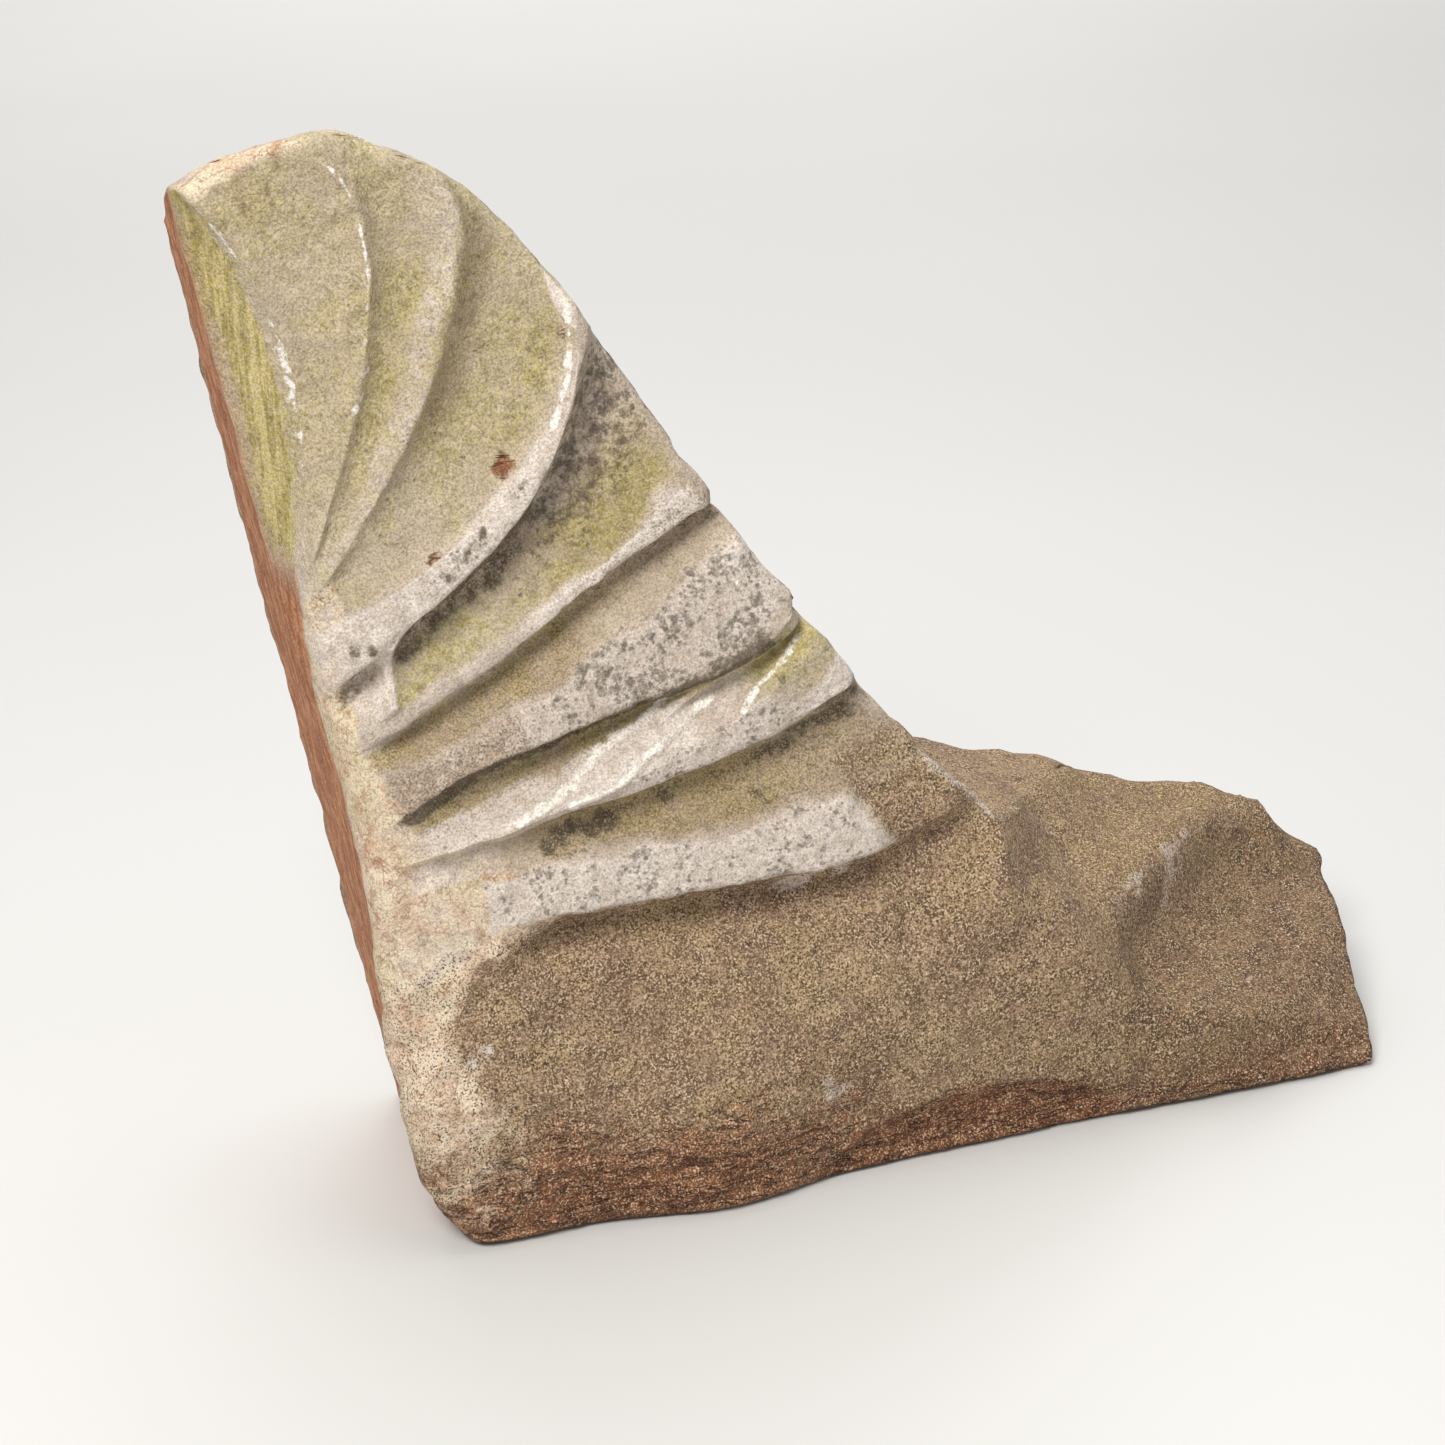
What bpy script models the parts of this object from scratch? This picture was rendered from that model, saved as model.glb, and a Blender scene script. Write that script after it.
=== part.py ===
# Carved keystone fragment: one block of stone with a leaning, fluted upper part on a plain rough foot.
# X runs along the front, Y goes back into the block, Z is up. All sizes are in metres.

import math

import bpy
import numpy as np

# Main sizes
HEIGHT = 0.592            # highest point above the ground
LENGTH = 0.585            # front left bottom corner to the far right end
DEPTH = 0.180             # front to back at the foot
TOP_LEAN = 0.050          # how far the front goes back at the top
TOP_THINNING = 0.032      # how far the back comes forward at the top
BACK_INSET = 0.034        # how far the broken slope falls in toward the back

# Carving
HOLLOW_DEPTH = 0.028      # deep hollow over the foot
CHANNEL_DEPTH = 0.016     # channels between the bands
LOBE_DEPTH = 0.014        # hollows of the three leaf lobes
RELIEF = 0.010            # how far the boldest carved edges stand out
MARGIN_WIDTH = 0.030      # plain strip left along the joint
CHANNEL_SKEW = 1.7        # above 1 puts the deepest line under the upper edge

# Edges
MARGIN_ROUNDING = 0.020
EDGE_ROUNDING = 0.007
BREAK_CURVE = 1.8         # above 1 keeps the broken top flatter just behind the carving
BASE_ROUNDING = 0.008
JOINT_BEVEL = 0.25        # share of the depth taken by the bevel between leaf and joint
UNDERCUT_DEPTH = 0.008
UNDERCUT_HEIGHT = 0.044
FRONT_SWELL = 0.014       # how far the low front stands out toward the left
SURFACE_WAVE = 0.0025     # unevenness of the plain rough faces
SPUR_GAP = 0.004          # how close the spur runs in under the band above it
FOOT_RIDGE = 0.006        # height of the crest across the right end of the foot
FOOT_SCOOP = 0.018        # depth of the broken hollow below that crest
SCOOP_WIDTH = 0.085       # how far that hollow runs down from the crest

# Fineness
COLUMNS_TALL = 22
COLUMNS_FOOT = 14
ROWS_FOOT = 11
STEPS_SIDE = 4
STEPS_OUTLINE = 1600

# Carved edges, from the lowest to the highest. Each is one curve with four guides, given as shares of
# LENGTH and HEIGHT, then how far it stands out as a share of RELIEF, and the steps to the next edge.
EDGES = [
    ("hollow_foot", ((-.063, .189), (.136, .309), (.314, .157), (.538, .311)), .2, 5),
    ("fascia_low", ((-.065, .253), (.123, .358), (.338, .252), (.506, .343)), .9, 2),
    ("fascia_high", ((-.067, .324), (.109, .371), (.293, .330), (.468, .389)), .8, 4),
    ("bead_low", ((-.068, .350), (.081, .403), (.275, .393), (.395, .476)), .4, 2),
    ("bead_high", ((-.072, .361), (.050, .393), (.277, .413), (.354, .524)), .8, 1),
    ("spur", ((-.074, .372), (.153, .388), (.160, .457), (.347, .537)), .6, 4),
    ("band_low", ((-.077, .385), (.040, .489), (.275, .462), (.344, .549)), .7, 2),
    ("band_high", ((-.085, .453), (.097, .463), (.147, .548), (.296, .618)), .4, 4),
    ("fillet_low", ((-.087, .473), (.044, .502), (.149, .607), (.274, .652)), .2, 1),
    ("fillet_high", ((-.089, .486), (.020, .528), (.169, .600), (.251, .682)), .2, 4),
    ("rim_low", ((-.094, .524), (.051, .639), (.106, .621), (.169, .821)), .9, 2),
    ("rim_high", ((-.099, .591), (.006, .623), (.184, .714), (.150, .850)), .8, 4),
    ("rib_right", ((-.099, .611), (-.039, .673), (.104, .866), (.051, .958)), .6, 4),
    ("rib_left", ((-.099, .628), (-.064, .720), (.044, .920), (-.065, .997)), .6, 4),
    ("leaf_side", ((-.099, .642), (-.077, .759), (-.081, .863), (-.164, .958)), .1, 0),
]
# Hollows between the edges, in the same order: none on the flat bands
HOLLOWS = [HOLLOW_DEPTH, 0, CHANNEL_DEPTH, 0, 0, CHANNEL_DEPTH, 0, CHANNEL_DEPTH, 0,
           CHANNEL_DEPTH, 0, LOBE_DEPTH, LOBE_DEPTH * .8, LOBE_DEPTH * .8]
# The broken slope from the foot to the rim, then the rounded top, as shares of LENGTH and HEIGHT
SLOPE = ((.538, .311), (.388, .462), (.274, .644), (.166, .826))
CROWN = ((.166, .826), (.087, .950), (-.026, 1.056), (-.164, .958))
# Facet that cuts the top of the foot's right end: a point in shares of the main sizes, and where it faces
FACET_AT = (.906, .83, .194)
FACET_NORMAL = (.395, -.507, .766)
# Crest across the right end of the foot: one point in shares of LENGTH and DEPTH, and its direction in plan
CREST_START = (.59, 0.0)
CREST_WAY = (.776, .633)
# Top line of the foot from the slope to the right end: shares of LENGTH, DEPTH and HEIGHT
FOOT_TOP = ((.538, .12, .311), (.575, .29, .297), (.620, .50, .283), (.690, .80, .266), (.722, .83, .247),
            (.790, .84, .221), (.870, .84, .206), (.930, .85, .180), (.955, .85, .144),
            (1.0, .86, .112))


def smooth(t):
    """Even step from 0 to 1."""
    t = np.clip(t, 0.0, 1.0)
    return t * t * (3.0 - 2.0 * t)


def bezier(guides, t):
    """Points on a cubic curve, in metres."""
    g = np.asarray(guides, float) * np.array([LENGTH, HEIGHT])
    t = np.asarray(t, float)[..., None]
    u = 1.0 - t
    return u ** 3 * g[0] + 3 * t * u * u * g[1] + 3 * t * t * u * g[2] + t ** 3 * g[3]


def left_side(z):
    """Front left edge: rounded toe, then a slight outward lean."""
    h = np.asarray(z, float) / HEIGHT
    return LENGTH * (-.007 - .058 * (1 - np.exp(-h / .059)) - .034 * smooth((h - .287) / .338))


def joint_face(z):
    """Dressed joint on the left: a flat face square to the front, leaning out as it rises."""
    return LENGTH * (-.0085 - .168 * np.asarray(z, float) / HEIGHT)


def coons(low, high, left, right):
    """Fill a patch from its four sides. low and high run along columns, left and right along rows."""
    u = np.linspace(0, 1, low.shape[0])[None, :, None]
    v = np.linspace(0, 1, left.shape[0])[:, None, None]
    ruled = (1 - v) * low[None] + v * high[None] + (1 - u) * left[:, None] + u * right[:, None]
    corners = ((1 - u) * (1 - v) * low[0] + u * (1 - v) * low[-1]
               + (1 - u) * v * high[0] + u * v * high[-1])
    return ruled - corners


def wave(x, z, seed):
    """Low swells of a roughly dressed face, between -1 and 1."""
    total = 0
    for k in range(1, 5):
        a = 2.4 * k + seed
        bend = 3.1 * np.sin(z / HEIGHT * 10.064 + a)
        total = total + np.sin(x / LENGTH * 13.455 * k + bend) * np.cos(z / HEIGHT * 11.248 * k + a) / k
    return total / 2.1


def outline_to(points, line):
    """Distance from each point to a broken line."""
    a, b = line[:-1], line[1:]
    d = b - a
    length = np.maximum((d * d).sum(1), 1e-12)
    flat = points.reshape(-1, 2)
    best = np.full(len(flat), 1e9)
    for k in range(len(a)):
        t = np.clip(((flat - a[k]) @ d[k]) / length[k], 0, 1)
        best = np.minimum(best, np.hypot(*(flat - a[k] - t[:, None] * d[k]).T))
    return best.reshape(points.shape[:-1])


def rounding(distance, radius):
    """How far a face falls back near its edge."""
    t = np.clip(1 - distance / np.maximum(radius, 1e-6), 0, 1)
    return radius * (1 - np.sqrt(1 - t * t))


def carved_edge(k, t):
    """Points of one carved edge. On the right the spur runs in close under the band above it."""
    line = bezier(EDGES[k][1], t)
    if EDGES[k][0] == "spur":
        band = bezier(EDGES[k + 1][1], t)
        way = np.gradient(band, axis=0)
        below = np.stack([way[:, 1], -way[:, 0]], 1) / np.hypot(*way.T)[:, None]
        line += (band + SPUR_GAP * below - line) * smooth((t - .60) / .18)[:, None]
    return line


def front_grid():
    """Front face as two patches that share one row: the foot and the tall part. Returns both in
    X and Z, with the row shares between carved edges."""
    n, m = COLUMNS_TALL, COLUMNS_FOOT
    t = np.linspace(0, 1, n + 1)
    t = t + .035 * np.sin(2 * math.pi * t) * -1
    rows, panel, share = [], [], []
    for k, (_, _, _, steps) in enumerate(EDGES):
        for j in range(max(steps, 1)):
            s = j / max(steps, 1)
            a = carved_edge(k, t)
            if s > 0:
                a = (1 - s) * a + s * carved_edge(k + 1, t)
            rows.append(a)
            panel.append(k)
            share.append(s)
    rows = np.array(rows)
    # both ends of every row go onto the outline
    ends = rows[:, -1]
    along = np.linspace(0, 1, STEPS_OUTLINE)
    line = np.vstack([bezier(SLOPE, along), bezier(CROWN, along)[1:]])
    for j in range(len(rows)):
        near = line[np.argmin(((line - ends[j]) ** 2).sum(1))]
        if 0 < j < len(rows) - 1:
            rows[j] += (near - ends[j]) * (t ** 4)[:, None]
            shift = left_side(rows[j, 0, 1]) - rows[j, 0, 0]
            rows[j, :, 0] += shift * (1 - t) ** 4
    first = rows[0]
    top = np.array(FOOT_TOP)
    u = np.linspace(0, 1, m + 1)[1:]
    at = np.interp(u, np.linspace(0, 1, len(top)), top[:, 0])
    foot_top = np.stack([at * LENGTH, np.interp(at, top[:, 0], top[:, 2]) * HEIGHT], 1)
    high = np.vstack([first, foot_top])
    v = np.linspace(0, 1, ROWS_FOOT + 1)
    v = v + .05 * np.sin(2 * math.pi * v) * -1
    left_z = first[0, 1] * v
    left = np.stack([left_side(left_z), left_z], 1)
    left[-1] = first[0]
    right = np.stack([LENGTH * (.915 + .085 * v ** .7), foot_top[-1, 1] * np.sin(math.pi / 2 * v ** .8)], 1)
    low_x = np.interp(high[:, 0], [high[0, 0], high[-1, 0]], [left[0, 0], right[0, 0]])
    low = np.stack([low_x, np.zeros(len(high))], 1)
    foot = coons(low, high, left, right)
    foot[-1, :n + 1] = first
    return foot, rows, np.array(panel), np.array(share), v, t


def back_offset(foot, rows):
    """Where the same patches lie at the back: shifts in X and Z."""
    n = COLUMNS_TALL
    # left side
    def left_shift(p):
        return np.stack([joint_face(p[:, 1]) - p[:, 0], np.zeros(len(p))], 1)
    left_foot = left_shift(foot[:, 0])
    left_tall = left_shift(rows[:, 0])
    high_tall = left_shift(rows[-1])
    # slope and crown fall inward
    ends = rows[:, -1]
    d = np.gradient(ends, axis=0)
    normal = np.stack([-d[:, 1], d[:, 0]], 1) / np.hypot(*d.T)[:, None]
    k = np.linspace(0, 1, len(ends))
    amount = BACK_INSET * (.35 + .65 * smooth(k / .12) + .5 * smooth((k - .55) / .3))
    right_tall = normal * amount[:, None]
    corner = np.array([0.0, -BACK_INSET])
    corner[0] = joint_face(ends[-1, 1] + corner[1]) - ends[-1, 0]
    blend = smooth((k - .85) / .15)[:, None]
    right_tall = right_tall * (1 - blend) + corner * blend
    drop_leaf = (np.linspace(0, 1, n + 1) ** 3) * corner[1]
    high_tall[:, 1] = drop_leaf
    high_tall[:, 0] = joint_face(rows[-1][:, 1] + drop_leaf) - rows[-1][:, 0]
    low_tall = left_tall[0] * (1 - np.linspace(0, 1, n + 1))[:, None] ** 2
    low_tall += right_tall[0] * np.linspace(0, 1, n + 1)[:, None] ** 2
    tall = coons(low_tall, high_tall, left_tall, right_tall)
    top = np.array(FOOT_TOP)
    drop = np.zeros((COLUMNS_FOOT, 2))
    drop[:, 1] = -.01 * HEIGHT
    high = np.vstack([tall[0], drop])
    right = np.outer(np.linspace(0, 1, ROWS_FOOT + 1), drop[-1])
    low = np.zeros((len(high), 2))
    low[:, 0] = left_foot[0, 0] * (1 - np.linspace(0, 1, len(high))) ** 2
    return coons(low, high, left_foot, right), tall


def front_depth(foot, rows, panel, share, v, t):
    """How far back the front face lies, with all carving."""
    n = COLUMNS_TALL
    x, z = rows[..., 0], rows[..., 1]
    base = TOP_LEAN * z / HEIGHT
    stand = RELIEF * np.array([e[2] for e in EDGES] + [0.0])
    a, b = stand[panel], stand[np.minimum(panel + 1, len(EDGES) - 1)]
    hollow = np.array(HOLLOWS + [0])[panel]
    out = ((1 - share) * a + share * b)[:, None] * np.ones_like(x)
    cut = (hollow * np.sin(math.pi * share ** CHANNEL_SKEW) ** .8)[:, None] * np.ones_like(x)
    # the fascia is broken off before the slope, and the hollow runs out there
    lost = smooth((x / LENGTH - .385) / .03) * (panel < 3)[:, None]
    out = out - lost * RELIEF * .8
    cut = cut * (1 - .55 * lost)
    edge = np.hypot(x - x[:, :1], z - z[:, :1])
    plain = smooth((edge - .35 * MARGIN_WIDTH) / MARGIN_WIDTH)
    depth_tall = base - out * plain + cut * plain
    # the foot: a nearly upright face that rolls back into its top
    fx, fz = foot[..., 0], foot[..., 1]
    top = np.array(FOOT_TOP)
    y_top = np.interp(fx[-1], top[:, 0] * LENGTH, top[:, 1] * DEPTH)
    y_top[:n + 1] = depth_tall[0]
    roll = smooth((fx[-1] / LENGTH - .49) / .11)[None, :]
    rise = v[:, None]
    upright = rise ** 5
    slant = np.clip((rise - .55) / .45, 0, 1) ** 1.5
    wedge = rise
    far = smooth((fx[-1] / LENGTH - .80) / .20)[None, :]
    shape = upright * (1 - roll) + roll * ((1 - far) * slant + far * wedge)
    depth_foot = y_top[None, :] * shape - RELIEF * .4 * np.sin(math.pi * rise) * (1 - roll)
    return depth_foot, depth_tall


def chop(points, at, normal, soft):
    """Cut points beyond a plane back onto it, with a soft crease."""
    normal = np.asarray(normal, float)
    normal = normal / np.linalg.norm(normal)
    over = (points - np.asarray(at, float)) @ normal
    soft_over = .5 * (over + np.sqrt(over * over + soft * soft))
    soft_over = np.where(over > -4 * soft, soft_over, 0)
    return points - soft_over[..., None] * normal


def crest(points):
    """Lift the crest across the right end of the foot, and hollow out what lies below it."""
    x, y, z = points.T
    beyond = (x - CREST_START[0] * LENGTH) * CREST_WAY[1] - (y - CREST_START[1] * DEPTH) * CREST_WAY[0]
    share = beyond / SCOOP_WIDTH
    dip = smooth(share / .28) * (1 - smooth((share - .34) / .66))
    lift = np.exp(-((share + .06) / .16) ** 2)
    there = smooth((x / LENGTH - .60) / .12) * smooth(z / HEIGHT / .06) * (1 - smooth((y / DEPTH - .56) / .24))
    amount = (FOOT_SCOOP * dip - FOOT_RIDGE * lift) * there
    return points - amount[:, None] * np.array(FACET_NORMAL)


def solid():
    """Vertices and faces of the whole block."""
    foot, rows, panel, share, v, t = front_grid()
    y_foot, y_tall = front_depth(foot, rows, panel, share, v, t)
    shift_foot, shift_tall = back_offset(foot, rows)
    n, m = COLUMNS_TALL, COLUMNS_FOOT
    R, T = ROWS_FOOT, len(rows) - 1

    def pack(foot_part, tall_part):
        """One list of vertices: foot rows 0 to R, then tall rows 1 to T."""
        return np.vstack([foot_part.reshape(-1, foot_part.shape[-1]),
                          tall_part[1:].reshape(-1, tall_part.shape[-1])])

    def foot_id(j, i):
        return j * (n + m + 1) + i

    def tall_id(j, i):
        return foot_id(R, i) if j == 0 else (R + 1) * (n + m + 1) + (j - 1) * (n + 1) + i

    front = np.concatenate([pack(foot, rows), pack(y_foot[..., None], y_tall[..., None])], 1)
    front = front[:, [0, 2, 1]]
    shift = pack(shift_foot, shift_tall)
    quads = []
    for j in range(R):
        for i in range(n + m):
            quads.append((foot_id(j, i), foot_id(j, i + 1), foot_id(j + 1, i + 1), foot_id(j + 1, i)))
    for j in range(T):
        for i in range(n):
            quads.append((tall_id(j, i), tall_id(j, i + 1), tall_id(j + 1, i + 1), tall_id(j + 1, i)))
    bottom = [foot_id(0, i) for i in range(n + m)]
    right = [foot_id(j, n + m) for j in range(R)]
    shelf = [foot_id(R, i) for i in range(n + m, n, -1)]
    slope = [tall_id(j, n) for j in range(T)]
    leaf = [tall_id(T, i) for i in range(n, 0, -1)]
    joint = [tall_id(j, 0) for j in range(T, 0, -1)] + [foot_id(j, 0) for j in range(R, 0, -1)]
    loop = bottom + right + shelf + slope + leaf + joint

    # rounded front edges
    line = front[loop + loop[:1]][:, [0, 2]]
    flat = front[:, [0, 2]]
    joint_ids = joint + bottom[:1]
    d_joint = outline_to(flat, front[joint_ids][:, [0, 2]])
    d_leaf = outline_to(flat, front[leaf + [joint[0]]][:, [0, 2]])
    d_slope = outline_to(flat, front[slope + leaf[:1]][:, [0, 2]])
    d_base = outline_to(flat, front[bottom + right[:1]][:, [0, 2]])
    front[:, 1] += rounding(d_joint, MARGIN_ROUNDING)
    front[:, 1] += rounding(d_leaf, EDGE_ROUNDING) + rounding(d_slope, EDGE_ROUNDING)
    front[:, 1] += rounding(d_base, BASE_ROUNDING)

    # unevenness and the broken hollow low on the front
    x, z = front[:, 0] / LENGTH, front[:, 2] / HEIGHT
    low = 1 - smooth((z - .16) / .08)
    front[:, 1] += SURFACE_WAVE * wave(front[:, 0], front[:, 2], 0) * (.35 + .65 * low)
    swell = np.exp(-((x - .235) / .085) ** 2) * FRONT_SWELL
    front[:, 1] -= (swell + BASE_ROUNDING * 1.3) * (1 - smooth((z - .02) / .20))
    along = np.clip((x - .315) / .345, 0, 1)
    lip = UNDERCUT_HEIGHT * np.sin(math.pi * along) ** .6
    below = smooth((lip - front[:, 2]) / (UNDERCUT_DEPTH * 2.2))
    front[:, 1] += UNDERCUT_DEPTH * below * smooth(front[:, 2] / (UNDERCUT_DEPTH * 1.5))

    # facet that cuts the right end of the foot, with its crest and hollow
    facet_at = np.array(FACET_AT) * (LENGTH, DEPTH, HEIGHT)
    facet = chop(front, facet_at, FACET_NORMAL, SURFACE_WAVE * .48)
    front += (facet - front) * smooth((x - .585) / .07)[:, None]
    front = crest(front)
    front[:, 2] = np.maximum(front[:, 2], 0)

    # back face
    back = front.copy()
    start = pack(np.concatenate([foot, foot * 0], -1), np.concatenate([rows, rows * 0], -1))[:, :2]
    back[:, 0] = start[:, 0] + shift[:, 0]
    back[:, 2] = np.maximum(start[:, 1] + shift[:, 1], 0)
    h = back[:, 2] / HEIGHT
    back[:, 1] = DEPTH - TOP_THINNING * smooth((h - .3) / .7)
    d_back = outline_to(back[:, [0, 2]], back[loop + loop[:1]][:, [0, 2]])
    back[:, 1] -= rounding(d_back, EDGE_ROUNDING)
    back[:, 1] += SURFACE_WAVE * wave(back[:, 0], back[:, 2], 2.0)

    # the strip around the block, from the front outline to the back one
    count = len(front)
    verts = [front, back]
    rings = [loop]
    normal = np.zeros((len(loop), 2))
    p = front[loop][:, [0, 2]]
    d = np.roll(p, -1, 0) - np.roll(p, 1, 0)
    normal = np.stack([d[:, 1], -d[:, 0]], 1) / np.maximum(np.hypot(*d.T), 1e-9)[:, None]
    place = {name: [loop.index(q) for q in ids] for name, ids in
             (("leaf", leaf), ("slope", slope), ("bottom", bottom), ("joint", joint))}
    dressed = np.zeros(len(loop))
    dressed[place["leaf"] + place["joint"]] = 1
    broken = np.zeros(len(loop))
    broken[place["slope"][1:] + place["leaf"]] = 1
    rough = np.zeros(len(loop))
    rough[place["slope"][1:]] = 1
    ring_start = 2 * count
    for step in range(1, STEPS_SIDE):
        s = JOINT_BEVEL + (1 - JOINT_BEVEL) * (step - 1) / (STEPS_SIDE - 1)
        ring = (1 - s) * front[loop] + s * back[loop]
        eased = (1 - broken * (1 - s ** BREAK_CURVE / s))[:, None] * s
        fall = (1 - eased) * front[loop] + eased * back[loop]
        ring[:, [0, 2]] = fall[:, [0, 2]]
        ring[:, 0] = np.where(dressed > 0, joint_face(ring[:, 2]), ring[:, 0])
        uneven = rough * SURFACE_WAVE * 1.6 * np.sin(math.pi * s) * np.sin(np.arange(len(loop)) * .9 + s * 7)
        ring[:, 0] += normal[:, 0] * uneven
        ring[:, 2] += normal[:, 1] * uneven
        verts.append(ring)
        rings.append([ring_start + k for k in range(len(loop))])
        ring_start += len(loop)
    rings.append([count + k for k in loop])
    faces = list(quads)
    faces += [tuple(count + k for k in reversed(q)) for q in quads]
    for a, b in zip(rings[:-1], rings[1:]):
        for k in range(len(loop)):
            q = (k + 1) % len(loop)
            faces.append((a[q], a[k], b[k], b[q]))
    return np.vstack(verts), faces


def centred(points):
    """Move the middle of the plan outline over the origin, on the ground."""
    lo, hi = points.min(0), points.max(0)
    return points - np.array([(lo[0] + hi[0]) / 2, (lo[1] + hi[1]) / 2, lo[2]])


def stone_material():
    """Weathered pale grey-brown marble."""
    material = bpy.data.materials.new("weathered_marble")
    material.use_nodes = True
    shader = material.node_tree.nodes["Principled BSDF"]
    shader.inputs["Base Color"].default_value = (.36, .31, .22, 1)
    shader.inputs["Roughness"].default_value = .85
    return material


def build():
    for item in list(bpy.data.objects):
        bpy.data.objects.remove(item, do_unlink=True)
    points, faces = solid()
    mesh = bpy.data.meshes.new("keystone")
    mesh.from_pydata([tuple(p) for p in centred(points)], [], faces)
    mesh.update()
    for polygon in mesh.polygons:
        polygon.use_smooth = True
    mesh.materials.append(stone_material())
    block = bpy.data.objects.new("keystone", mesh)
    bpy.context.scene.collection.objects.link(block)


build()
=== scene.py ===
# Weathered carved arch stone: fine carving and surface over the plain solid, with floor, light and camera.
# X runs along the front, Y goes back into the block, Z is up. All sizes are in metres.

import math

import bpy
import numpy as np
from mathutils import Matrix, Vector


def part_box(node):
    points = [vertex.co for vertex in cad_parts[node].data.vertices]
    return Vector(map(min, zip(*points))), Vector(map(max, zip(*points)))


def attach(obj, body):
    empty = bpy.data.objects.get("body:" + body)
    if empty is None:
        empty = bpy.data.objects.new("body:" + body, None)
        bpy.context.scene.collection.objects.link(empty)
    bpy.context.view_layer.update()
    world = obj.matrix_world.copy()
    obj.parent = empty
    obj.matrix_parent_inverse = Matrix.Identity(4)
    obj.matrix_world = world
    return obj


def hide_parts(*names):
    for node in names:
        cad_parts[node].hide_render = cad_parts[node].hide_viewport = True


# Main sizes of the block, as in its solid
HEIGHT = 0.592
LENGTH = 0.585
DEPTH = 0.18
TOP_LEAN = 0.05
TOP_THINNING = 0.032
BACK_INSET = 0.034
HOLLOW_DEPTH = 0.028
CHANNEL_DEPTH = 0.016
LOBE_DEPTH = 0.014
RELIEF = 0.01
# How far the deepest line of a hollow is moved toward its upper edge
CHANNEL_SKEW = 1.7
FOOT_SKEW = 1.5
MARGIN_ROUNDING = 0.02
EDGE_ROUNDING = 0.007
BREAK_CURVE = 1.8
BASE_ROUNDING = 0.008
JOINT_BEVEL = 0.25
UNDERCUT_DEPTH = 0.008
UNDERCUT_HEIGHT = 0.044
FRONT_SWELL = 0.014
SURFACE_WAVE = 0.0025
SPUR_GAP = 0.004
FOOT_RIDGE = 0.006
FOOT_SCOOP = 0.018
SCOOP_WIDTH = 0.085

# Fineness, all even numbers
COLUMNS_TALL = 180
COLUMNS_FOOT = 76
ROWS_FOOT = 60
STEPS_SIDE = 14
STEPS_BEVEL = 4
STEPS_OUTLINE = 4000

# Carved edges from the lowest to the highest: four guides in shares of LENGTH and HEIGHT, how far each
# stands out as a share of RELIEF, and the steps to the next edge
EDGES = [
    (((-.063, .189), (.136, .309), (.314, .157), (.538, .311)), .2, 24),
    (((-.065, .253), (.123, .358), (.338, .252), (.506, .343)), .9, 14),
    (((-.067, .324), (.109, .371), (.293, .33), (.468, .389)), .8, 20),
    (((-.068, .35), (.081, .403), (.275, .393), (.395, .476)), .4, 12),
    (((-.072, .361), (.05, .393), (.277, .413), (.354, .524)), .8, 14),
    (((-.074, .372), (.153, .388), (.16, .457), (.347, .537)), .6, 12),
    (((-.077, .385), (.04, .489), (.275, .462), (.344, .549)), .7, 14),
    (((-.085, .453), (.097, .463), (.147, .548), (.296, .618)), .4, 16),
    (((-.087, .473), (.044, .502), (.149, .607), (.274, .652)), .2, 8),
    (((-.089, .486), (.02, .528), (.169, .6), (.251, .682)), .2, 18),
    (((-.094, .524), (.051, .639), (.106, .621), (.169, .821)), .9, 12),
    (((-.099, .591), (.006, .623), (.184, .714), (.15, .85)), .8, 22),
    (((-.099, .611), (-.039, .673), (.104, .866), (.051, .958)), .6, 20),
    (((-.099, .628), (-.064, .72), (.044, .92), (-.065, .997)), .6, 16),
    (((-.099, .642), (-.077, .759), (-.081, .863), (-.164, .958)), .1, 0),
]
HOLLOWS = [HOLLOW_DEPTH, 0, CHANNEL_DEPTH, 0, 0, CHANNEL_DEPTH, 0, CHANNEL_DEPTH, 0,
           CHANNEL_DEPTH, 0, LOBE_DEPTH, LOBE_DEPTH * .8, LOBE_DEPTH * .8]
# Sharp drop right under the next edge, and ledge right above the own edge
WALLS = [.001, 0, .004, 0, 0, .007, 0, .004, 0, .008, 0, 0, 0, 0]
LEDGES = [0, 0, .003, 0, 0, 0, 0, .003, 0, .001, 0, .004, 0, 0]
# The spur's own edge number
SPUR = 5
SLOPE = ((.538, .311), (.388, .462), (.274, .644), (.166, .826))
CROWN = ((.166, .826), (.087, .95), (-.026, 1.056), (-.164, .958))
FOOT_TOP = ((.538, .12, .311), (.575, .29, .297), (.62, .5, .283), (.69, .8, .266), (.722, .83, .247),
            (.79, .84, .221), (.87, .84, .206), (.93, .85, .18), (.955, .85, .144),
            (1.0, .86, .112))
# Facet that cuts the top of the foot's right end: a point in shares of the main sizes, and where it faces
FACET_AT = (.906, .83, .194)
FACET_NORMAL = (.395, -.507, .766)
# Crest across the right end of the foot: one point in shares of LENGTH and DEPTH, and its direction in plan
CREST_START = (.59, 0.0)
CREST_WAY = (.776, .633)
# Notches and bumps along the broken slope and rounded top: way along it, height, half width
NOTCHES = ((.062, -.0022, .006), (.078, .0012, .006), (.181, -.0034, .0045), (.192, .0016, .006),
           (.254, -.002, .005), (.3, .0012, .012), (.515, -.0035, .022))
# Chips that show pale stone on the foot: place in X and Z, and size
CHIPS = ((.0126, .1106, .0055), (.004, .107, .003), (-.0019, .0743, .006), (.203, .056, .01),
         (.18, .05, .0055), (.3533, .1589, .004), (.36, .144, .003), (.4849, .0771, .0035))

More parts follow.
